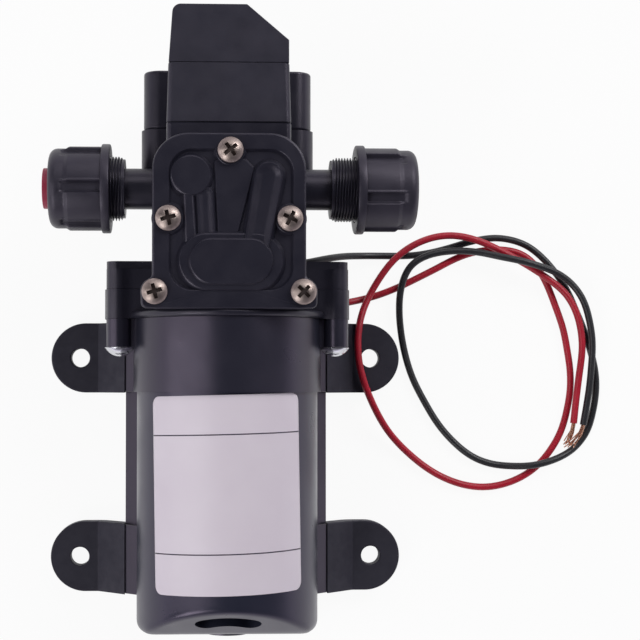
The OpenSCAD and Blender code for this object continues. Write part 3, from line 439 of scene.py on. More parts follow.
LEAD_ROUNDNESS = 5

# Bare wires at the leads' ends: one in the middle and a ring of wires round it
STRAND_FINISH = metal("strand_copper", rgb(228, 180, 156), rgb(198, 136, 106), 0.30)
STRANDS = 9
STRAND_R = 0.17
STRAND_SIDES = 7
STRAND_STEPS = 14
STRAND_RING = 0.5
STRAND_PACKED = 0.86
STRAND_SPREAD = 0.34
STRAND_TWIST = 2.6
STRAND_INSIDE = 0.3
STRAND_SHORTER = (0.0, 0.5, 1.0)
# How much the wires differ in spread and in bend, as (least share, more, rate from wire to wire)
STRAND_SPREADS = (0.4, 0.6, 2.3)
STRAND_BENDS = (0.55, 0.9, 1.7)


def smooth_path(route):
    """Points of a smooth curve along the route, which starts and ends on it."""
    p = [Vector(q) for q in route]
    p = [2 * p[0] - p[1]] + p + [2 * p[-1] - p[-2]]
    path = []
    for i in range(1, len(p) - 2):
        a, b, c, d = p[i - 1:i + 3]
        for step in range(LEAD_STEPS):
            t = step / LEAD_STEPS
            place = a * (1 - t) ** 3 + b * (3 * t ** 3 - 6 * t ** 2 + 4)
            place = place + c * (1 + 3 * t + 3 * t ** 2 - 3 * t ** 3) + d * t ** 3
            path.append(place / 6)
    path.append(p[-2])
    return path


def uneven(k, shares):
    """A share that differs from wire to wire."""
    least, more, rate = shares
    return least + more * math.sin(k * rate) ** 2


def strands(name, route, length, lean, node):
    """Bare wires that go on past the end of a lead, twisted, spread and leaning to the left."""
    start = Vector(route[-1])
    ahead = (start - Vector(route[-2])).normalized()
    across = ahead.cross(Vector((0, 0, 1))).normalized()
    up = across.cross(ahead)
    wires = []
    for k in range(STRANDS):
        ring_r = STRAND_RING if k > 0 else 0.0
        spread = STRAND_SPREAD * uneven(k, STRAND_SPREADS)
        bend = lean * uneven(k, STRAND_BENDS)
        wire_length = length - STRAND_SHORTER[k % 3]
        path = []
        for i in range(STRAND_STEPS + 1):
            t = i / STRAND_STEPS
            a = FULL_TURN * k / (STRANDS - 1) + STRAND_TWIST * t
            out = ring_r * (STRAND_PACKED + spread * t * t)
            along = wire_length * t - STRAND_INSIDE * (1 - t)
            place = start + along * ahead + out * (math.cos(a) * across + math.sin(a) * up)
            path.append(place - Vector((bend * t * t, 0, 0)))
        wires.append(tube(path, STRAND_R, STRAND_SIDES))
    points, faces = joined(wires)
    piece = add_mesh(name, points, faces, "pump", "copper", STRAND_FINISH)
    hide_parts(node)
    return piece


def lead(name, route, slot, node):
    path = smooth_path(route)
    data = bpy.data.curves.new(name, "CURVE")
    data.dimensions = "3D"
    data.bevel_depth = LEAD_D / 2 * MM
    data.bevel_resolution = LEAD_ROUNDNESS
    data.use_fill_caps = True
    spline = data.splines.new("POLY")
    spline.points.add(len(path) - 1)
    for point, p in zip(spline.points, path):
        point.co = (*(p * MM), 1.0)
    spline.use_smooth = True
    data.materials.append(MATERIALS[slot])
    piece = bpy.data.objects.new(name, data)
    scene.collection.objects.link(piece)
    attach(piece, "pump")
    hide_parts(node)


red_end = strands("red_strands", RED_ROUTE, length=6.2, lean=1.6, node="red_lead_end")
black_end = strands("black_strands", BLACK_ROUTE, length=6.6, lean=3.2, node="black_lead_end")
lead("red_cable", RED_ROUTE, "red_insulation", "red_lead")
lead("black_cable", BLACK_ROUTE, "black_insulation", "black_lead")


# Front cover: the CAD cover's plan and heights, with sloped flanks and rounded edges
Y_COVER = 40.5
COVER_W = 39.0
COVER_H = 44.0
COVER_R = 9.4
COVER_LOW_R = 1.2
COVER_CENTRE = (0.0, 46.0)
COVER_RAYS = 900
COVER_EDGE = 0.6
COVER_INSETS = (0.025, 0.07, 0.15, 0.25, 0.37, 0.5, 0.7, 0.9)
COVER_CHAMFER = (0.25, 0.3)
CHIN = 0.24
Z_COVER = 52.0
Z_RIM = 56.0
Z_PANEL = 55.1
PANEL_SUNK = 0.3
EAR_R = 3.6
EAR_X = 22.3
EAR_H = 4.5
EAR_CORNER = 1.4
EAR_CHIN = 0.45
EAR_BLEND = 0.9
SCREW_FIT = 0.05
SCREWS = [(0.3, 80.0), (-15.4, 62.7), (15.4, 62.7), (-18.8, 44.2), (18.8, 44.2)]
SCREW_BOSS_R = 3.7
SCREW_BOSS_DROP = 0.03
RECESS = ((-15.3, 44.5), (16.3, 80.4), 6.0)
RECESS_SOFT = 0.4
FLANK = math.radians(56)
FINGER_FLANK = 60
FINGER_STEEPER = 4
EDGE_STEPS = 6
CRISP_EDGE = 0.04
LOWER_LEFT = math.radians(225)
LOWER_LEFT_SOFT = 1.1
TOP = math.radians(90)
TOP_SOFT = 0.6
SOFT_FADE = 7
BOSS_SIDES = 180
DISH_STEPS = 8
RAY_FAR = 40.0
RAY_STEP = 0.25
RAY_HALVINGS = 30

# Raised forms on the cover: circles of (x, y, radius), whose hull is the form's upper edge
DISC = [(-9.7, 73.6, 4.95)]
RIDGE = [(-10.35, 69.4, 1.05), (-9.6, 55.0, 1.25)]
CHANNEL = [(-6.15, 68.6, 2.0), (-5.5, 56.0, 2.0)]
WEB = [(-2.9, 76.8, 0.7), (3.6, 77.0, 0.7), (5.4, 75.2, 0.7), (0.8, 57.0, 0.7), (-1.9, 57.0, 0.7)]
FINGER = [(10.0, 73.4, 3.45), (6.9, 56.0, 3.1)]
OVAL_OUTER = [(-5.5, 51.8, 7.0), (6.4, 51.8, 7.0)]
OVAL_INNER = [(-4.3, 51.85, 5.6), (5.2, 51.85, 5.6)]


def box_distance(x, y, low, high, r):
    """Signed distance to a rectangle with corners of radius r, negative inside."""
    dx = abs(x - (low[0] + high[0]) / 2) - (high[0] - low[0]) / 2 + r
    dy = abs(y - (low[1] + high[1]) / 2) - (high[1] - low[1]) / 2 + r
    return math.hypot(max(dx, 0), max(dy, 0)) + min(max(dx, dy), 0) - r


def cover_distance(x, y):
    """Signed distance to the cover's outline: a rounded plate with an ear at each lower screw."""
    top = Y_COVER + COVER_H
    r = COVER_R if y > Y_COVER + COVER_H / 2 else COVER_LOW_R
    d = box_distance(x, y, (-COVER_W / 2, Y_COVER - CHIN), (COVER_W / 2, top), r)
    ear = min(math.hypot(x - sx, y - sy) for sx, sy in SCREWS[3:]) - EAR_R
    foot = box_distance(x, y, (-EAR_X, Y_COVER - EAR_CHIN), (EAR_X, Y_COVER + EAR_H), EAR_CORNER)
    ear = min(ear, foot)
    blend = min(1.0, max(0.0, 0.5 + 0.5 * (ear - d) / EAR_BLEND))
    return ear * (1 - blend) + d * blend - EAR_BLEND * blend * (1 - blend)


def recess_distance(x, y):
    return box_distance(x, y, *RECESS)


def reach(distance, cx, cy, ux, uy):
    """How far a ray from the centre goes before it leaves an outline."""
    high = RAY_FAR
    while distance(cx + ux * high, cy + uy * high) > 0:
        high -= RAY_STEP
    low = high
    high += RAY_STEP
    for step in range(RAY_HALVINGS):
        mid = (low + high) / 2
        if distance(cx + ux * mid, cy + uy * mid) > 0:
            high = mid
        else:
            low = mid
    return low


def edge_radius(facing, soft):
    """Rounding of an upper edge by the way it faces: soft to the lower left and the top."""
    lower_left = max(0.0, math.cos(facing - LOWER_LEFT))
    top = max(0.0, math.cos(facing - TOP))
    share = LOWER_LEFT_SOFT * lower_left ** SOFT_FADE + TOP_SOFT * top ** SOFT_FADE
    return CRISP_EDGE + soft * share


def edge_rows(radius, flank, z):
    """Rows over a rounded edge from the flat to the flank, as (distance towards the flank, height)."""
    t = radius * math.tan(flank / 2)
    angles = [flank * i / EDGE_STEPS for i in range(EDGE_STEPS + 1)]
    return [(radius * math.sin(a) - t, z - radius + radius * math.cos(a)) for a in angles]


def even_flank(facing):
    return FLANK


def finger_flank(facing):
    """The finger's flank is steeper on its left side."""
    return math.radians(FINGER_FLANK + FINGER_STEEPER * max(0.0, -math.cos(facing)))


def raised(circles, z, soft=0.3, round_all=0.0, dish=(0.0, 0.0), flank_of=even_flank):
    """A raised form of height z. Its rounding is at least round_all, dish is a hollow's depth and width."""
    depth, width = dish
    columns = []
    for k in range(BOSS_SIDES):
        a = FULL_TURN * k / BOSS_SIDES
        ux, uy = math.cos(a), math.sin(a)
        x, y, r = max(circles, key=lambda c: c[0] * ux + c[1] * uy + c[2])
        flank = flank_of(a)
        foot = (z - Z_PANEL) / math.tan(flank)
        rows = [(foot, Z_PANEL - PANEL_SUNK), (foot, Z_PANEL)]
        rows += reversed(edge_rows(max(edge_radius(a, soft), round_all), flank, z))
        if depth:
            out, flat = rows[-1]
            for i in range(1, DISH_STEPS + 1):
                t = i / DISH_STEPS
                rows.append((out - width * t, flat - depth * eased(t)))
        columns.append([(x + (r + d) * ux, y + (r + d) * uy, h) for d, h in rows])
    return columns


def recess_rows(cx, cy, ux, uy):
    """Points over the recess's rounded edge and down to the panel, where a ray meets the recess."""
    near = reach(recess_distance, cx, cy, ux, uy)
    x, y = cx + ux * near, cy + uy * near
    step = 0.001
    nx = (recess_distance(x + step, y) - recess_distance(x - step, y)) / (2 * step)
    ny = (recess_distance(x, y + step) - recess_distance(x, y - step)) / (2 * step)
    facing = math.atan2(-ny, -nx)
    rows = edge_rows(edge_radius(facing, RECESS_SOFT), FLANK, Z_RIM)
    rows.append(((Z_RIM - Z_PANEL) / math.tan(FLANK), Z_PANEL))
    return [(x - d * nx, y - d * ny, z) for d, z in rows]


def cover_plate():
    """The cover's rim and recessed panel, as columns from the lower edge to the panel's foot."""
    cx, cy = COVER_CENTRE
    inward, upward = COVER_CHAMFER
    columns = []
    for k in range(COVER_RAYS):
        a = FULL_TURN * k / COVER_RAYS
        ux, uy = math.cos(a), math.sin(a)
        far = reach(cover_distance, cx, cy, ux, uy)
        side = [(far - inward, Z_COVER), (far, Z_COVER + upward), (far, Z_RIM - COVER_EDGE)]
        column = [(cx + ux * t, cy + uy * t, z) for t, z in side]
        for inset in COVER_INSETS:
            x, y = cx + ux * (far - inset), cy + uy * (far - inset)
            d = min(COVER_EDGE, -cover_distance(x, y))
            rise = math.sqrt(max(0.0, COVER_EDGE ** 2 - (COVER_EDGE - d) ** 2))
            column.append((x, y, Z_RIM - COVER_EDGE + rise))
        columns.append(column + recess_rows(cx, cy, ux, uy))
    return columns


def cover_piece():
    shells = [
        cover_plate(),
        raised(DISC, z=56.3, soft=1.0),
        raised(RIDGE, z=56.1, soft=0.6, round_all=0.7),
        raised(CHANNEL, z=56.0, soft=0.2, dish=(0.26, 1.7)),
        raised(WEB, z=55.8, soft=0.2),
        raised(FINGER, z=57.0, soft=0.2, dish=(0.6, 2.1), flank_of=finger_flank),
        raised(OVAL_OUTER, z=56.5, soft=0.9),
        raised(OVAL_INNER, z=57.1, soft=0.8),
    ]
    for x, y in SCREWS[:3]:
        shells.append(raised([(x, y, SCREW_BOSS_R)], z=Z_RIM - SCREW_BOSS_DROP))
    points, faces = joined([closed(shell) for shell in shells])
    piece = add_mesh("cover_moulding", points, faces, "pump", "black_plastic")
    sharpen(piece, 30)
    even_normals(piece)
    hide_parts("front_cover")


cover_piece()


# Pressure switch: the base with its rounded sides, and the head's neck below it
SWITCH_LOW = 33.3
SWITCH_HIGH = 50.7
SWITCH_ENDS = (88.1, 103.45)
SWITCH_HALF = (16.05, 15.6)
SWITCH_CORNER = 1.4
SWITCH_CHAMFER = 0.2
NECK_LOW = 44.0
NECK_HIGH = SWITCH_HIGH - 0.1
NECK_LENGTH = 5.0
NECK_GAP = 0.05
NECK_CHAMFER = 0.25
BAR_SIDES = 96


def bar(name, stations, slot):
    """A bar along Y with rounded corners, through stations (y, half width, low z, high z, inset)."""
    columns = []
    for k in range(BAR_SIDES):
        a = FULL_TURN * k / BAR_SIDES
        ux, uz = math.cos(a), math.sin(a)
        column = []
        for y, half, low, high, inset in stations:
            r = SWITCH_CORNER - inset
            x = math.copysign(half - SWITCH_CORNER, ux) + r * ux
            z = (high - SWITCH_CORNER if uz > 0 else low + SWITCH_CORNER) + r * uz
            column.append((x, y, z))
        columns.append(column)
    points, faces = closed(columns)
    piece = add_mesh(name, points, flipped(faces), "pump", slot)
    sharpen(piece, 30)
    even_normals(piece)
    return piece


def switch_sides():
    start, end = SWITCH_ENDS
    wide, narrow = SWITCH_HALF
    base = bar("switch_body", [
        (start, wide, SWITCH_LOW, SWITCH_HIGH, SWITCH_CHAMFER),
        (start + SWITCH_CHAMFER, wide, SWITCH_LOW, SWITCH_HIGH, 0),
        (end - SWITCH_CHAMFER, narrow, SWITCH_LOW, SWITCH_HIGH, 0),
        (end, narrow, SWITCH_LOW, SWITCH_HIGH, SWITCH_CHAMFER),
    ], "switch_plastic")
    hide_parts("switch_base")
    bar("switch_neck", [
        (start - NECK_LENGTH, wide, NECK_LOW, NECK_HIGH, 0),
        (start - NECK_GAP - NECK_CHAMFER, wide, NECK_LOW, NECK_HIGH, 0),
        (start - NECK_GAP, wide, NECK_LOW, NECK_HIGH, NECK_CHAMFER),
    ], "black_plastic")


switch_sides()


# Webs that slope from the clamp lugs' round columns to the head, split where the lugs are
LUG_FLAT = 34.0
LUG_OUTER = (28.3, 36.2)
LUG_SLOPE = [(27.7, 36.62), (27.0, 36.33), (26.3, 36.08), (25.6, 35.95), (24.8, 35.9)]
LUG_LOW = 35.9


def lug_webs(name, y0, y1, inner):
    """A shallow slope from each column to the inner end, standing on the lug's flat."""
    section = [(LUG_OUTER[0], LUG_FLAT), LUG_OUTER] + LUG_SLOPE + [(inner, LUG_LOW), (inner, LUG_FLAT)]
    points, faces = joined([prism(section, side, y0, y1) for side in (-1, 1)])
    piece = add_mesh(name, points, faces, "pump", "black_plastic")
    sharpen(piece, 30)


lug_webs("flange_webs", y0=38.25, y1=40.15, inner=22.4)
lug_webs("plate_webs", y0=40.15, y1=46.05, inner=19.4)
lug_webs("body_webs", y0=46.15, y1=51.35, inner=19.4)


# Plates on the bracket's wings beside the feet, which carry the wings' slope up to the feet's edges
WING_FOOT = (28.35, 9.84)
WING_INNER = 24.6
WING_RISE = 0.903
WING_PLATE = 1.85
WING_SUNK = 0.25
WING_EDGE = 0.3
WING_ENDS = [(18.6, 36.2), (-37.9, -18.6)]


def wing_plates():
    outer, low = WING_FOOT
    high = low + WING_RISE * (outer - WING_INNER)
    section = [
        (outer, low - WING_SUNK), (outer, low + WING_PLATE),
        (WING_INNER, high + WING_PLATE), (WING_INNER, high - WING_SUNK),
    ]
    points, faces = joined([prism(section, side, y0, y1) for side in (-1, 1) for y0, y1 in WING_ENDS])
    piece = add_mesh("wing_plates", points, faces, "pump", "bracket_paint")
    bevel = piece.modifiers.new("edges", "BEVEL")
    bevel.width = WING_EDGE * MM
    bevel.segments = EDGE_SEGMENTS
    bevel.harden_normals = True


wing_plates()


# Union nuts: flange, barrel with six grip grooves, rounded end, and the bore with its lip
NUT_LEN = 16.1
NUT_BORE = 8.8
NUT_FLANGE = 11.8
NUT_GRIP = 11.1
NUT_BARREL = 10.55
NUT_ROUND = 2.2
NUT_ROUND_STEPS = 8
NUT_LIP = 3.0
NUT_LIP_EDGE = 0.3
# Section along the nut as (distance, radius, share of the grooves' depth)
NUT_SECTION = [
    (0.0, NUT_BORE, 0), (0.0, 11.45, 0), (0.1, 11.7, 0), (0.35, NUT_FLANGE, 0),
    (1.95, NUT_FLANGE, 0), (2.2, 11.7, 0), (2.3, 11.45, 0),
    (2.32, NUT_GRIP, 1), (10.7, NUT_GRIP, 1), (10.95, 11.05, 1), (11.6, 10.62, 1),
    (11.9, NUT_BARREL, 1), (12.2, NUT_BARREL, 1), (12.5, NUT_BARREL, 0.8),
    (12.9, NUT_BARREL, 0.2), (13.2, NUT_BARREL, 0),
]
# Grooves, with angles in degrees from the middle of a groove
GROOVES = 6
GROOVE_FLOOR = 10.1
GROOVE_HALF = 5.4
GROOVE_SLOPE = 3.2
GROOVE_LINE = 0.22
GROOVE_LINE_AT = -9.3
GROOVE_LINE_HALF = 1.7
GROOVE_ANGLES = [
    -30, -26, -22, -18, -14, -12, -11, -10, -9.3, -8.6, -8.0, -7.4, -6.8, -6.2, -5.4, -3.6, -1.8,
    0, 1.8, 3.6, 5.4, 6.2, 7.0, 7.8, 8.6, 9.4, 11, 14, 18, 22, 26,
]


def groove_height(angle):
    """Share of the groove's depth that is left standing, and the height of the line on one edge."""
    t = min(1.0, max(0.0, (abs(angle) - GROOVE_HALF) / GROOVE_SLOPE))
    line = GROOVE_LINE * max(0.0, 1 - abs(angle - GROOVE_LINE_AT) / GROOVE_LINE_HALF)
    return eased(t), line


def nut_section(lip):
    """The nut's whole section, with its rounded end and a lip of the given radius."""
    section = list(NUT_SECTION)
    for i in range(NUT_ROUND_STEPS + 1):
        a = math.pi / 2 * i / NUT_ROUND_STEPS
        along = NUT_LEN - NUT_ROUND + NUT_ROUND * math.sin(a)
        section.append((along, NUT_BARREL - NUT_ROUND * (1 - math.cos(a)), 0))
    section += [(NUT_LEN, lip + NUT_LIP_EDGE, 0), (NUT_LEN - NUT_LIP_EDGE, lip, 0)]
    section += [(NUT_LEN - NUT_LIP, lip, 0), (NUT_LEN - NUT_LIP, NUT_BORE, 0)]
    return section


def nut(name, node, body, side, x0, lip, turn):
    """A nut on the left (-1) or right (1) port, which starts at x0 and is turned by turn degrees."""
    section = nut_section(lip)
    columns = []
    for i in range(GROOVES):
        for angle in GROOVE_ANGLES:
            share, line = groove_height(angle)
            a = math.radians(turn + 360 / GROOVES * i + angle)
            column = []
            for x, r, grooved in section:
                r -= grooved * ((r - GROOVE_FLOOR) * (1 - share) - line)
                column.append((side * (x0 + x), PORT_Y + r * math.cos(a), PORT_Z + r * math.sin(a)))
            columns.append(column)
    points, faces = ring(columns)
    piece = add_mesh(name, points, faces if side > 0 else flipped(faces), body, "nut_plastic")
    sharpen(piece, 35)
    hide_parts(node)


nut("inlet_nut_moulding", "inlet_nut", "inlet_union", side=-1, x0=31.0, lip=5.1, turn=34)
nut("outlet_nut_moulding", "outlet_nut", "outlet_union", side=1, x0=33.8, lip=5.4, turn=48)


# Spring of the pressure switch, a coil with a mesh of its own
SPRING_END = (-4.0, 113.1, 41.6)
SPRING_ENDS = (95.7, 113.0)
SPRING_R = 2.4
SPRING_WIRE_R = 0.4
SPRING_TURNS = 6
SPRING_STEPS = 32
SPRING_SIDES = 10


def spring():
    cx, cz = SPRING_END[0], SPRING_END[2]
    y0, y1 = SPRING_ENDS
    last = SPRING_TURNS * SPRING_STEPS
    columns = []
    for k in range(SPRING_SIDES):
        b = FULL_TURN * k / SPRING_SIDES
        r = SPRING_R + SPRING_WIRE_R * math.cos(b)
        column = []
        for i in range(last + 1):
            a = FULL_TURN * i / SPRING_STEPS
            y = y0 + (y1 - y0) * i / last + SPRING_WIRE_R * math.sin(b)
            column.append((cx + r * math.cos(a), y, cz + r * math.sin(a)))
        columns.append(column)
    points, faces = closed(columns)
    piece = add_mesh("switch_coil", points, faces, "pump", slot_of["switch_spring"])
    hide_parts("switch_spring")
    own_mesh(piece)


spring()


# Diaphragm: its rim stays in the head, its middle goes round with the rod, clear of the rim
CRANK_Y = 54.0
DIAPHRAGM_SIDES = 72
DIAPHRAGM_RIM = [
    (8.6, 43.88), (9.9, 44.6), (10.5, 45.05), (12.5, 45.05),
    (12.5, 46.95), (10.1, 46.95), (9.1, 46.0), (8.6, 45.64),
]
DIAPHRAGM_MIDDLE = [(1.6, 43.0), (6.5, 43.0), (6.7, 43.2), (6.7, 44.3), (6.5, 44.5), (1.6, 44.5)]


def diaphragm(name, section, body):
    """A rubber ring turned from a section of (radius, height)."""
    columns = []
    for k in range(DIAPHRAGM_SIDES):
        a = FULL_TURN * k / DIAPHRAGM_SIDES
        columns.append([(r * math.cos(a), CRANK_Y + r * math.sin(a), z) for r, z in section])
    points, faces = ring(columns)
    piece = add_mesh(name, points, faces, body, "seal_rubber")
    sharpen(piece, 40)
    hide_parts("diaphragm")


diaphragm("diaphragm_rim", DIAPHRAGM_RIM, "pump")
diaphragm("diaphragm_middle", DIAPHRAGM_MIDDLE, "rod")


# Painted shade: dark sheets on the floors of the cover screws' cross recesses, standing in for the shade
# inside them
CROSS_TURNS = [38, 15, 62, 15, 46]
CROSS_ARM = ((1.9, -0.44), (1.9, 0.44), (0.48, 0.48))
CROSS_RISE = 1.1
CROSS_LIFT = 0.02
CROSS_DEPTH = 0.015


def painted_cross_shade():
    # Painted shade: dark brown colours that stand in for the shade at the bottom of each cross recess
    surface = Surface("painted_recess_shade", rgb(58, 43, 39), rough=0.6)
    surface.tone(1200, rgb(40, 29, 27))
    surface.gloss(900, 0.5, 0.7)
    z = Z_RIM + CROSS_RISE + SCREW_FIT + CROSS_LIFT
    shells = []
    for (sx, sy), turn in zip(SCREWS, CROSS_TURNS):
        outline = []
        for k in range(4):
            a = math.radians(turn + 90 * k)
            c, s = math.cos(a), math.sin(a)
            for x, y in CROSS_ARM:
                outline.append((sx + c * x - s * y, sy + s * x + c * y, z))
        shells.append((outline, [tuple(range(len(outline)))]))
    points, faces = joined(shells)
    piece = add_mesh("cross_recess_painted_shade", points, faces, "pump", "screw_steel", surface.material, smooth=False)
    thicken(piece, CROSS_DEPTH)


painted_cross_shade()


# Port threads: two ridges wound round each core
THREAD_ENDS = (27.7, 39.4)
THREAD_CORE = 7.8
THREAD_CREST = 8.5
THREAD_SUNK = 0.12
THREAD_LEAD = 1.5
THREAD_STARTS = 2
THREAD_STEPS = 56
THREAD_FADE = 24
THREAD_SHARE = 0.42


def thread(name, side):
    """The thread of the left (-1) or right (1) port."""
    x0, x1 = THREAD_ENDS
    half = THREAD_SHARE * THREAD_LEAD / THREAD_STARTS
    root = THREAD_CORE - THREAD_SUNK
    count = int((x1 - x0) / THREAD_LEAD * THREAD_STEPS)
    ridges = []
    for start in range(THREAD_STARTS):
        columns = [[], [], [], []]
        for i in range(count + 1):
            a = FULL_TURN * (i / THREAD_STEPS + start / THREAD_STARTS)
            x = x0 + THREAD_LEAD * i / THREAD_STEPS
            share = min(1.0, i / THREAD_FADE, (count - i) / THREAD_FADE)
            top = THREAD_CORE + (THREAD_CREST - THREAD_CORE) * share
            section = ((-half, root), (-half / 4, top), (half / 4, top), (half, root))
            for column, (dx, r) in zip(columns, section):
                y = PORT_Y + side * r * math.sin(a)
                column.append((side * (x + dx), y, PORT_Z + r * math.cos(a)))
        ridges.append(closed(columns))
    points, faces = joined(ridges)
    add_mesh(name, points, faces, "pump", "black_plastic")


thread("inlet_thread", -1)
thread("outlet_thread", 1)


# Motor can: the CAD's can with rounded corners and edges at its rear end
CAN_REAR = -45.1
CAN_FRONT = 34.1
CAN_INNER_R = 22.7
CAN_FLOOR = -34.2
CAN_LIP = 0.3
CAN_SIDES = 200
CAN_CENTRE_R = 0.6
CORNER_BLEND = 3.2
FACET_FOOT = (-37.1, AXIS_Z + CAN_R)
FACET_ANGLE = math.radians(29)
FACET_BLEND = 1.2
# The pocket for the shaft's end and its bearing, and the hub behind it, as (radius, y)
POCKET = (5.05, -41.8)
HUB = (6.5, -45.9)
HUB_EDGE = 0.35
HUB_EDGE_MIDDLE = 0.1
# Rays that find the rear end's surface, from a point on the axis
REAR_RAYS_FROM = -20.0
REAR_RAYS = 76
REAR_RAY_HALVINGS = 24
# Vents in the facets
VENT_DROP = 6.6
VENT_R = 12.0
VENT_HALF = 3.0
VENT_SPAN = math.radians(28)
VENT_DEPTHS = (-2.0, 10.0)
VENT_STEPS = 16
VENT_END_STEPS = 10


def rounded_max(a, b, blend):
    """The larger of two distances, with the edge between them rounded."""
    share = max(blend - abs(a - b), 0.0) / blend
    return max(a, b) + share * share * blend / 4


def can_distance(x, y, z):
    """Distance to the can's rear end, negative inside: barrel, rear face and two sloped facets."""
    d = rounded_max(math.hypot(x, z - AXIS_Z) - CAN_R, CAN_REAR - y, CORNER_BLEND)
    back = -(y - FACET_FOOT[0]) * math.cos(FACET_ANGLE)
    for height in (z, 2 * AXIS_Z - z):
        facet = back + (height - FACET_FOOT[1]) * math.sin(FACET_ANGLE)
        d = rounded_max(d, facet, FACET_BLEND)
    return d


def rear_rows(ux, uz):
    """Rows of (radius, y) over the can's rear end, in the direction (ux, uz) from the axis."""
    rows = []
    for i in range(REAR_RAYS):
        p = math.radians(90 - i)
        outward, backward = math.sin(p), -math.cos(p)
        low, high = 0.0, RAY_FAR
        for step in range(REAR_RAY_HALVINGS):
            mid = (low + high) / 2
            r = outward * mid
            if can_distance(r * ux, REAR_RAYS_FROM + backward * mid, AXIS_Z + r * uz) > 0:
                high = mid
            else:
                low = mid
        rows.append((outward * low, REAR_RAYS_FROM + backward * low))
    return rows


def can_column(angle):
    """One column of the can, from the pocket's floor along the inside and the outside to the hub."""
    ux, uz = math.cos(angle), math.sin(angle)
    pocket_r, pocket_y = POCKET
    hub_r, hub_y = HUB
    rows = [(CAN_CENTRE_R, pocket_y), (pocket_r, pocket_y), (pocket_r, CAN_FLOOR)]
    rows += [(CAN_INNER_R, CAN_FLOOR), (CAN_INNER_R, CAN_FRONT)]
    rows += [(CAN_R - CAN_LIP, CAN_FRONT), (CAN_R, CAN_FRONT - CAN_LIP), (CAN_R, 0.0)]
    rows += rear_rows(ux, uz)
    rows += [(hub_r, CAN_REAR), (hub_r, hub_y + HUB_EDGE)]
    rows += [(hub_r - HUB_EDGE_MIDDLE, hub_y + HUB_EDGE_MIDDLE)]
    rows += [(hub_r - HUB_EDGE, hub_y), (CAN_CENTRE_R, hub_y)]
    return [(r * ux, y, AXIS_Z + r * uz) for r, y in rows]


def vent_side(r, start, end):
    """One long side of the vent, an arc in the facet's plane."""
    angles = [start + (end - start) * i / VENT_STEPS for i in range(VENT_STEPS + 1)]
    return [(r * math.sin(a), r * math.cos(a)) for a in angles]


def vent_end(at, start):
    """One round end of the vent, at an angle of its arc."""
    cx, cz = VENT_R * math.sin(at), VENT_R * math.cos(at)
    angles = [start - math.pi * i / VENT_END_STEPS for i in range(1, VENT_END_STEPS)]
    return [(cx + VENT_HALF * math.cos(a), cz + VENT_HALF * math.sin(a)) for a in angles]


def vent_cutter(side):
    """A curved bar through the upper (1) or lower (-1) facet."""
    outline = vent_side(VENT_R + VENT_HALF, -VENT_SPAN, VENT_SPAN)
    outline += vent_end(VENT_SPAN, math.pi / 2 - VENT_SPAN)
    outline += vent_side(VENT_R - VENT_HALF, VENT_SPAN, -VENT_SPAN)
    outline += vent_end(-VENT_SPAN, math.pi / 2 + VENT_SPAN + math.pi)
    c, s = math.cos(FACET_ANGLE), math.sin(FACET_ANGLE)
    columns = []
    for x, r in outline:
        along = r - VENT_DROP - VENT_R
        column = []
        for depth in VENT_DEPTHS:
            y = FACET_FOOT[0] + c * depth + s * along
            z = FACET_FOOT[1] - s * depth + c * along
            column.append((side * x, y, z if side > 0 else 2 * AXIS_Z - z))
        columns.append(column)
    points, faces = closed(columns)
    mesh = bpy.data.meshes.new("vent_cutter")
    mesh.from_pydata([Vector(p) * MM for p in points], [], faces)
    cutter = bpy.data.objects.new("vent_cutter", mesh)
    scene.collection.objects.link(cutter)
    return cutter


def can_shell():
    points, faces = closed([can_column(FULL_TURN * k / CAN_SIDES) for k in range(CAN_SIDES)])
    piece = add_mesh("can_shell", points, faces, "pump", "can_paint")
    cutters = [vent_cutter(side) for side in (1, -1)]
    for cutter in cutters:
        cut = piece.modifiers.new("vent", "BOOLEAN")
        cut.operation = "DIFFERENCE"
        cut.solver = "EXACT"
        cut.object = cutter
    bpy.context.view_layer.update()
    result = piece.evaluated_get(bpy.context.evaluated_depsgraph_get())
    cut_mesh = bpy.data.meshes.new_from_object(result)
    piece.modifiers.clear()
    piece.data = cut_mesh
    for cutter in cutters:
        bpy.data.objects.remove(cutter)
    sharpen(piece, 35)
    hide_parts("motor_can")


can_shell()


# Bare plate on the motor, with two thin rules
PLATE_HALF = (21.5, 25.5)
PLATE_CORNER = 2.3
PLATE_CORNER_STEPS = 8
PLATE_CENTRE = (-0.5, -7.35)
PLATE_TURN = math.radians(1.5)
PLATE_COLUMNS = 64
PLATE_LIFT = 0.10
PLATE_DEPTH = 0.08
RULES = (("plate_rule_upper", 15.4), ("plate_rule_lower", -15.0))
RULE_HALF = 0.16
RULE_INSET = 0.1
RULE_LIFT = 0.115
RULE_DEPTH = 0.012


def wrapped(name, rows, lift, depth, material):
    """A thin sheet on the can, through rows of (distance along it, left end, right end)."""
    c, s = math.cos(PLATE_TURN), math.sin(PLATE_TURN)
    r = CAN_R + lift
    points = []
    for y, left, right in rows:
        for k in range(PLATE_COLUMNS + 1):
            x = left + (right - left) * k / PLATE_COLUMNS
            a = (c * x - s * y + PLATE_CENTRE[0]) / CAN_R
            along = s * x + c * y + PLATE_CENTRE[1]
            points.append((r * math.sin(a), along, AXIS_Z + r * math.cos(a)))
    faces = []
    for j in range(len(rows) - 1):
        a = j * (PLATE_COLUMNS + 1)
        b = a + PLATE_COLUMNS + 1
        faces += [(a + k, a + k + 1, b + k + 1, b + k) for k in range(PLATE_COLUMNS)]
    thicken(add_mesh(name, points, faces, "pump", "can_paint", material), depth)


def plate_material():
    surface = Surface("plate_film", rgb(226, 217, 226), rough=0.34)
    surface.tone(60, rgb(221, 211, 221))
    surface.gloss(90, 0.30, 0.40)
    surface.grain(1800, depth=0.01, strength=0.3)
    return surface.material


def rule_material():
    surface = Surface("plate_ink", rgb(52, 44, 58), rough=0.5)
    surface.tone(900, rgb(70, 60, 76))
    surface.gloss(600, 0.45, 0.6)
    return surface.material


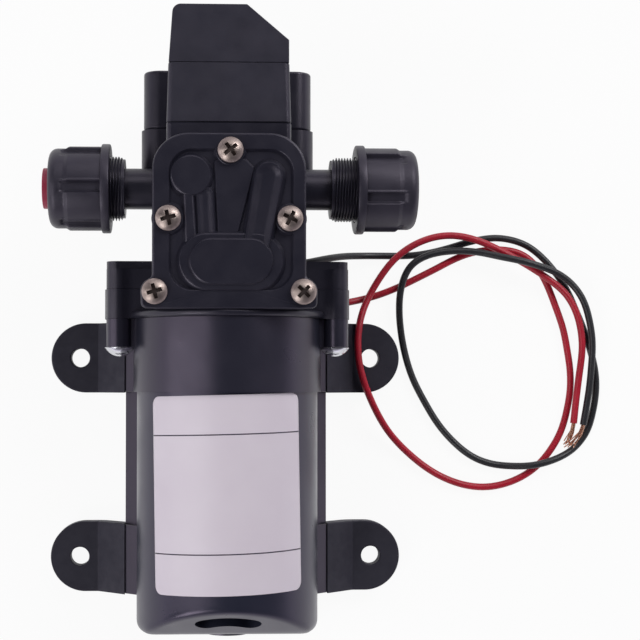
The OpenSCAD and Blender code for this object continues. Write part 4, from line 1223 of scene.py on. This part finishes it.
def plate():
    half_x, half_y = PLATE_HALF
    rows = []
    for i in range(PLATE_CORNER_STEPS + 1):
        d = PLATE_CORNER * (1 - math.cos(math.pi / 2 * i / PLATE_CORNER_STEPS))
        inset = PLATE_CORNER - math.sqrt(max(0.0, PLATE_CORNER ** 2 - (PLATE_CORNER - d) ** 2))
        rows.append((-half_y + d, -half_x + inset, half_x - inset))
    rows += [(-y, left, right) for y, left, right in reversed(rows)]
    wrapped("motor_plate", rows, PLATE_LIFT, PLATE_DEPTH, plate_material())
    ink = rule_material()
    end = half_x - RULE_INSET
    for name, y in RULES:
        rows = [(y - RULE_HALF, -end, end), (y + RULE_HALF, -end, end)]
        wrapped(name, rows, RULE_LIFT, RULE_DEPTH, ink)


plate()


# Floor, light and surroundings, with their lengths in metres
FLOOR_HALF = 3
FLOOR_Z = -0.0002
FLOOR_COLOR = (0.86, 0.86, 0.86, 1)
FLOOR_WHITE = 0.93
TENT_WALL = (1.20, 1.15, 1.28, 1)
TENT_TOP = (0.07, 0.07, 0.08, 1)
TENT_LEVELS = ((0.12, 0.80), (0.30, 0.26), (0.60, 0.12))
TENT_TINT = (1.0, 0.96, 1.08)
LAMP_AIM = (0.02, 0.03, 0)


def floor_material():
    """A floor that looks white and still shows the object's shadow."""
    material = bpy.data.materials.new("floor")
    material.use_nodes = True
    tree = material.node_tree
    tree.nodes.clear()

    def math_node(operation, first):
        node = tree.nodes.new("ShaderNodeMath")
        node.operation = operation
        tree.links.new(first, node.inputs[0])
        return node

    rays = tree.nodes.new("ShaderNodeLightPath").outputs
    seen = math_node("MAXIMUM", rays["Is Camera Ray"])
    tree.links.new(rays["Is Glossy Ray"], seen.inputs[1])
    both = math_node("MAXIMUM", seen.outputs[0])
    tree.links.new(rays["Is Transmission Ray"], both.inputs[1])
    share = math_node("MULTIPLY", both.outputs[0])
    share.inputs[1].default_value = FLOOR_WHITE
    diffuse = tree.nodes.new("ShaderNodeBsdfDiffuse")
    diffuse.inputs["Color"].default_value = FLOOR_COLOR
    white = tree.nodes.new("ShaderNodeEmission")
    white.inputs["Strength"].default_value = 1.0
    mix = tree.nodes.new("ShaderNodeMixShader")
    tree.links.new(share.outputs[0], mix.inputs["Fac"])
    tree.links.new(diffuse.outputs[0], mix.inputs[1])
    tree.links.new(white.outputs[0], mix.inputs[2])
    out = tree.nodes.new("ShaderNodeOutputMaterial")
    tree.links.new(mix.outputs[0], out.inputs["Surface"])
    return material


def floor():
    signs = ((-1, -1), (1, -1), (1, 1), (-1, 1))
    corners = [(FLOOR_HALF * x, FLOOR_HALF * y, FLOOR_Z) for x, y in signs]
    mesh = bpy.data.meshes.new("floor")
    mesh.from_pydata(corners, [], [(0, 1, 2, 3)])
    mesh.materials.append(floor_material())
    piece = bpy.data.objects.new("floor", mesh)
    scene.collection.objects.link(piece)


def surroundings():
    """A light tent: bright walls, a dimmer opening overhead."""
    world = bpy.data.worlds.new("tent")
    scene.world = world
    world.use_nodes = True
    tree = world.node_tree
    background = tree.nodes["Background"]
    coordinates = tree.nodes.new("ShaderNodeTexCoord")
    axes = tree.nodes.new("ShaderNodeSeparateXYZ")
    ramp = tree.nodes.new("ShaderNodeValToRGB")
    stops = ramp.color_ramp.elements
    stops[0].position = 0.0
    stops[0].color = TENT_WALL
    stops[1].position = 1.0
    stops[1].color = TENT_TOP
    for place, level in TENT_LEVELS:
        stops.new(place).color = (*(c * level for c in TENT_TINT), 1)
    tree.links.new(coordinates.outputs["Generated"], axes.inputs["Vector"])
    tree.links.new(axes.outputs["Z"], ramp.inputs["Fac"])
    tree.links.new(ramp.outputs["Color"], background.inputs["Color"])
    background.inputs["Strength"].default_value = 1.0


def lamp(name, place, size, power):
    data = bpy.data.lights.new(name, "AREA")
    data.shape = "RECTANGLE"
    data.size = size[0]
    data.size_y = size[1]
    data.energy = power
    piece = bpy.data.objects.new(name, data)
    piece.location = place
    piece.rotation_euler = (Vector(LAMP_AIM) - Vector(place)).to_track_quat("-Z", "Y").to_euler()
    scene.collection.objects.link(piece)


floor()
surroundings()
lamp("strip", place=(-0.85, 0.00, 0.77), size=(0.28, 1.20), power=2.8)
lamp("low_left", place=(-0.65, -0.65, 0.70), size=(0.50, 0.50), power=3.9)
lamp("upper_right", place=(0.65, 0.65, 0.70), size=(0.50, 0.50), power=5.5)
lamp("top_side", place=(0.05, 0.95, 0.75), size=(1.00, 0.50), power=2.3)

bpy.context.view_layer.update()
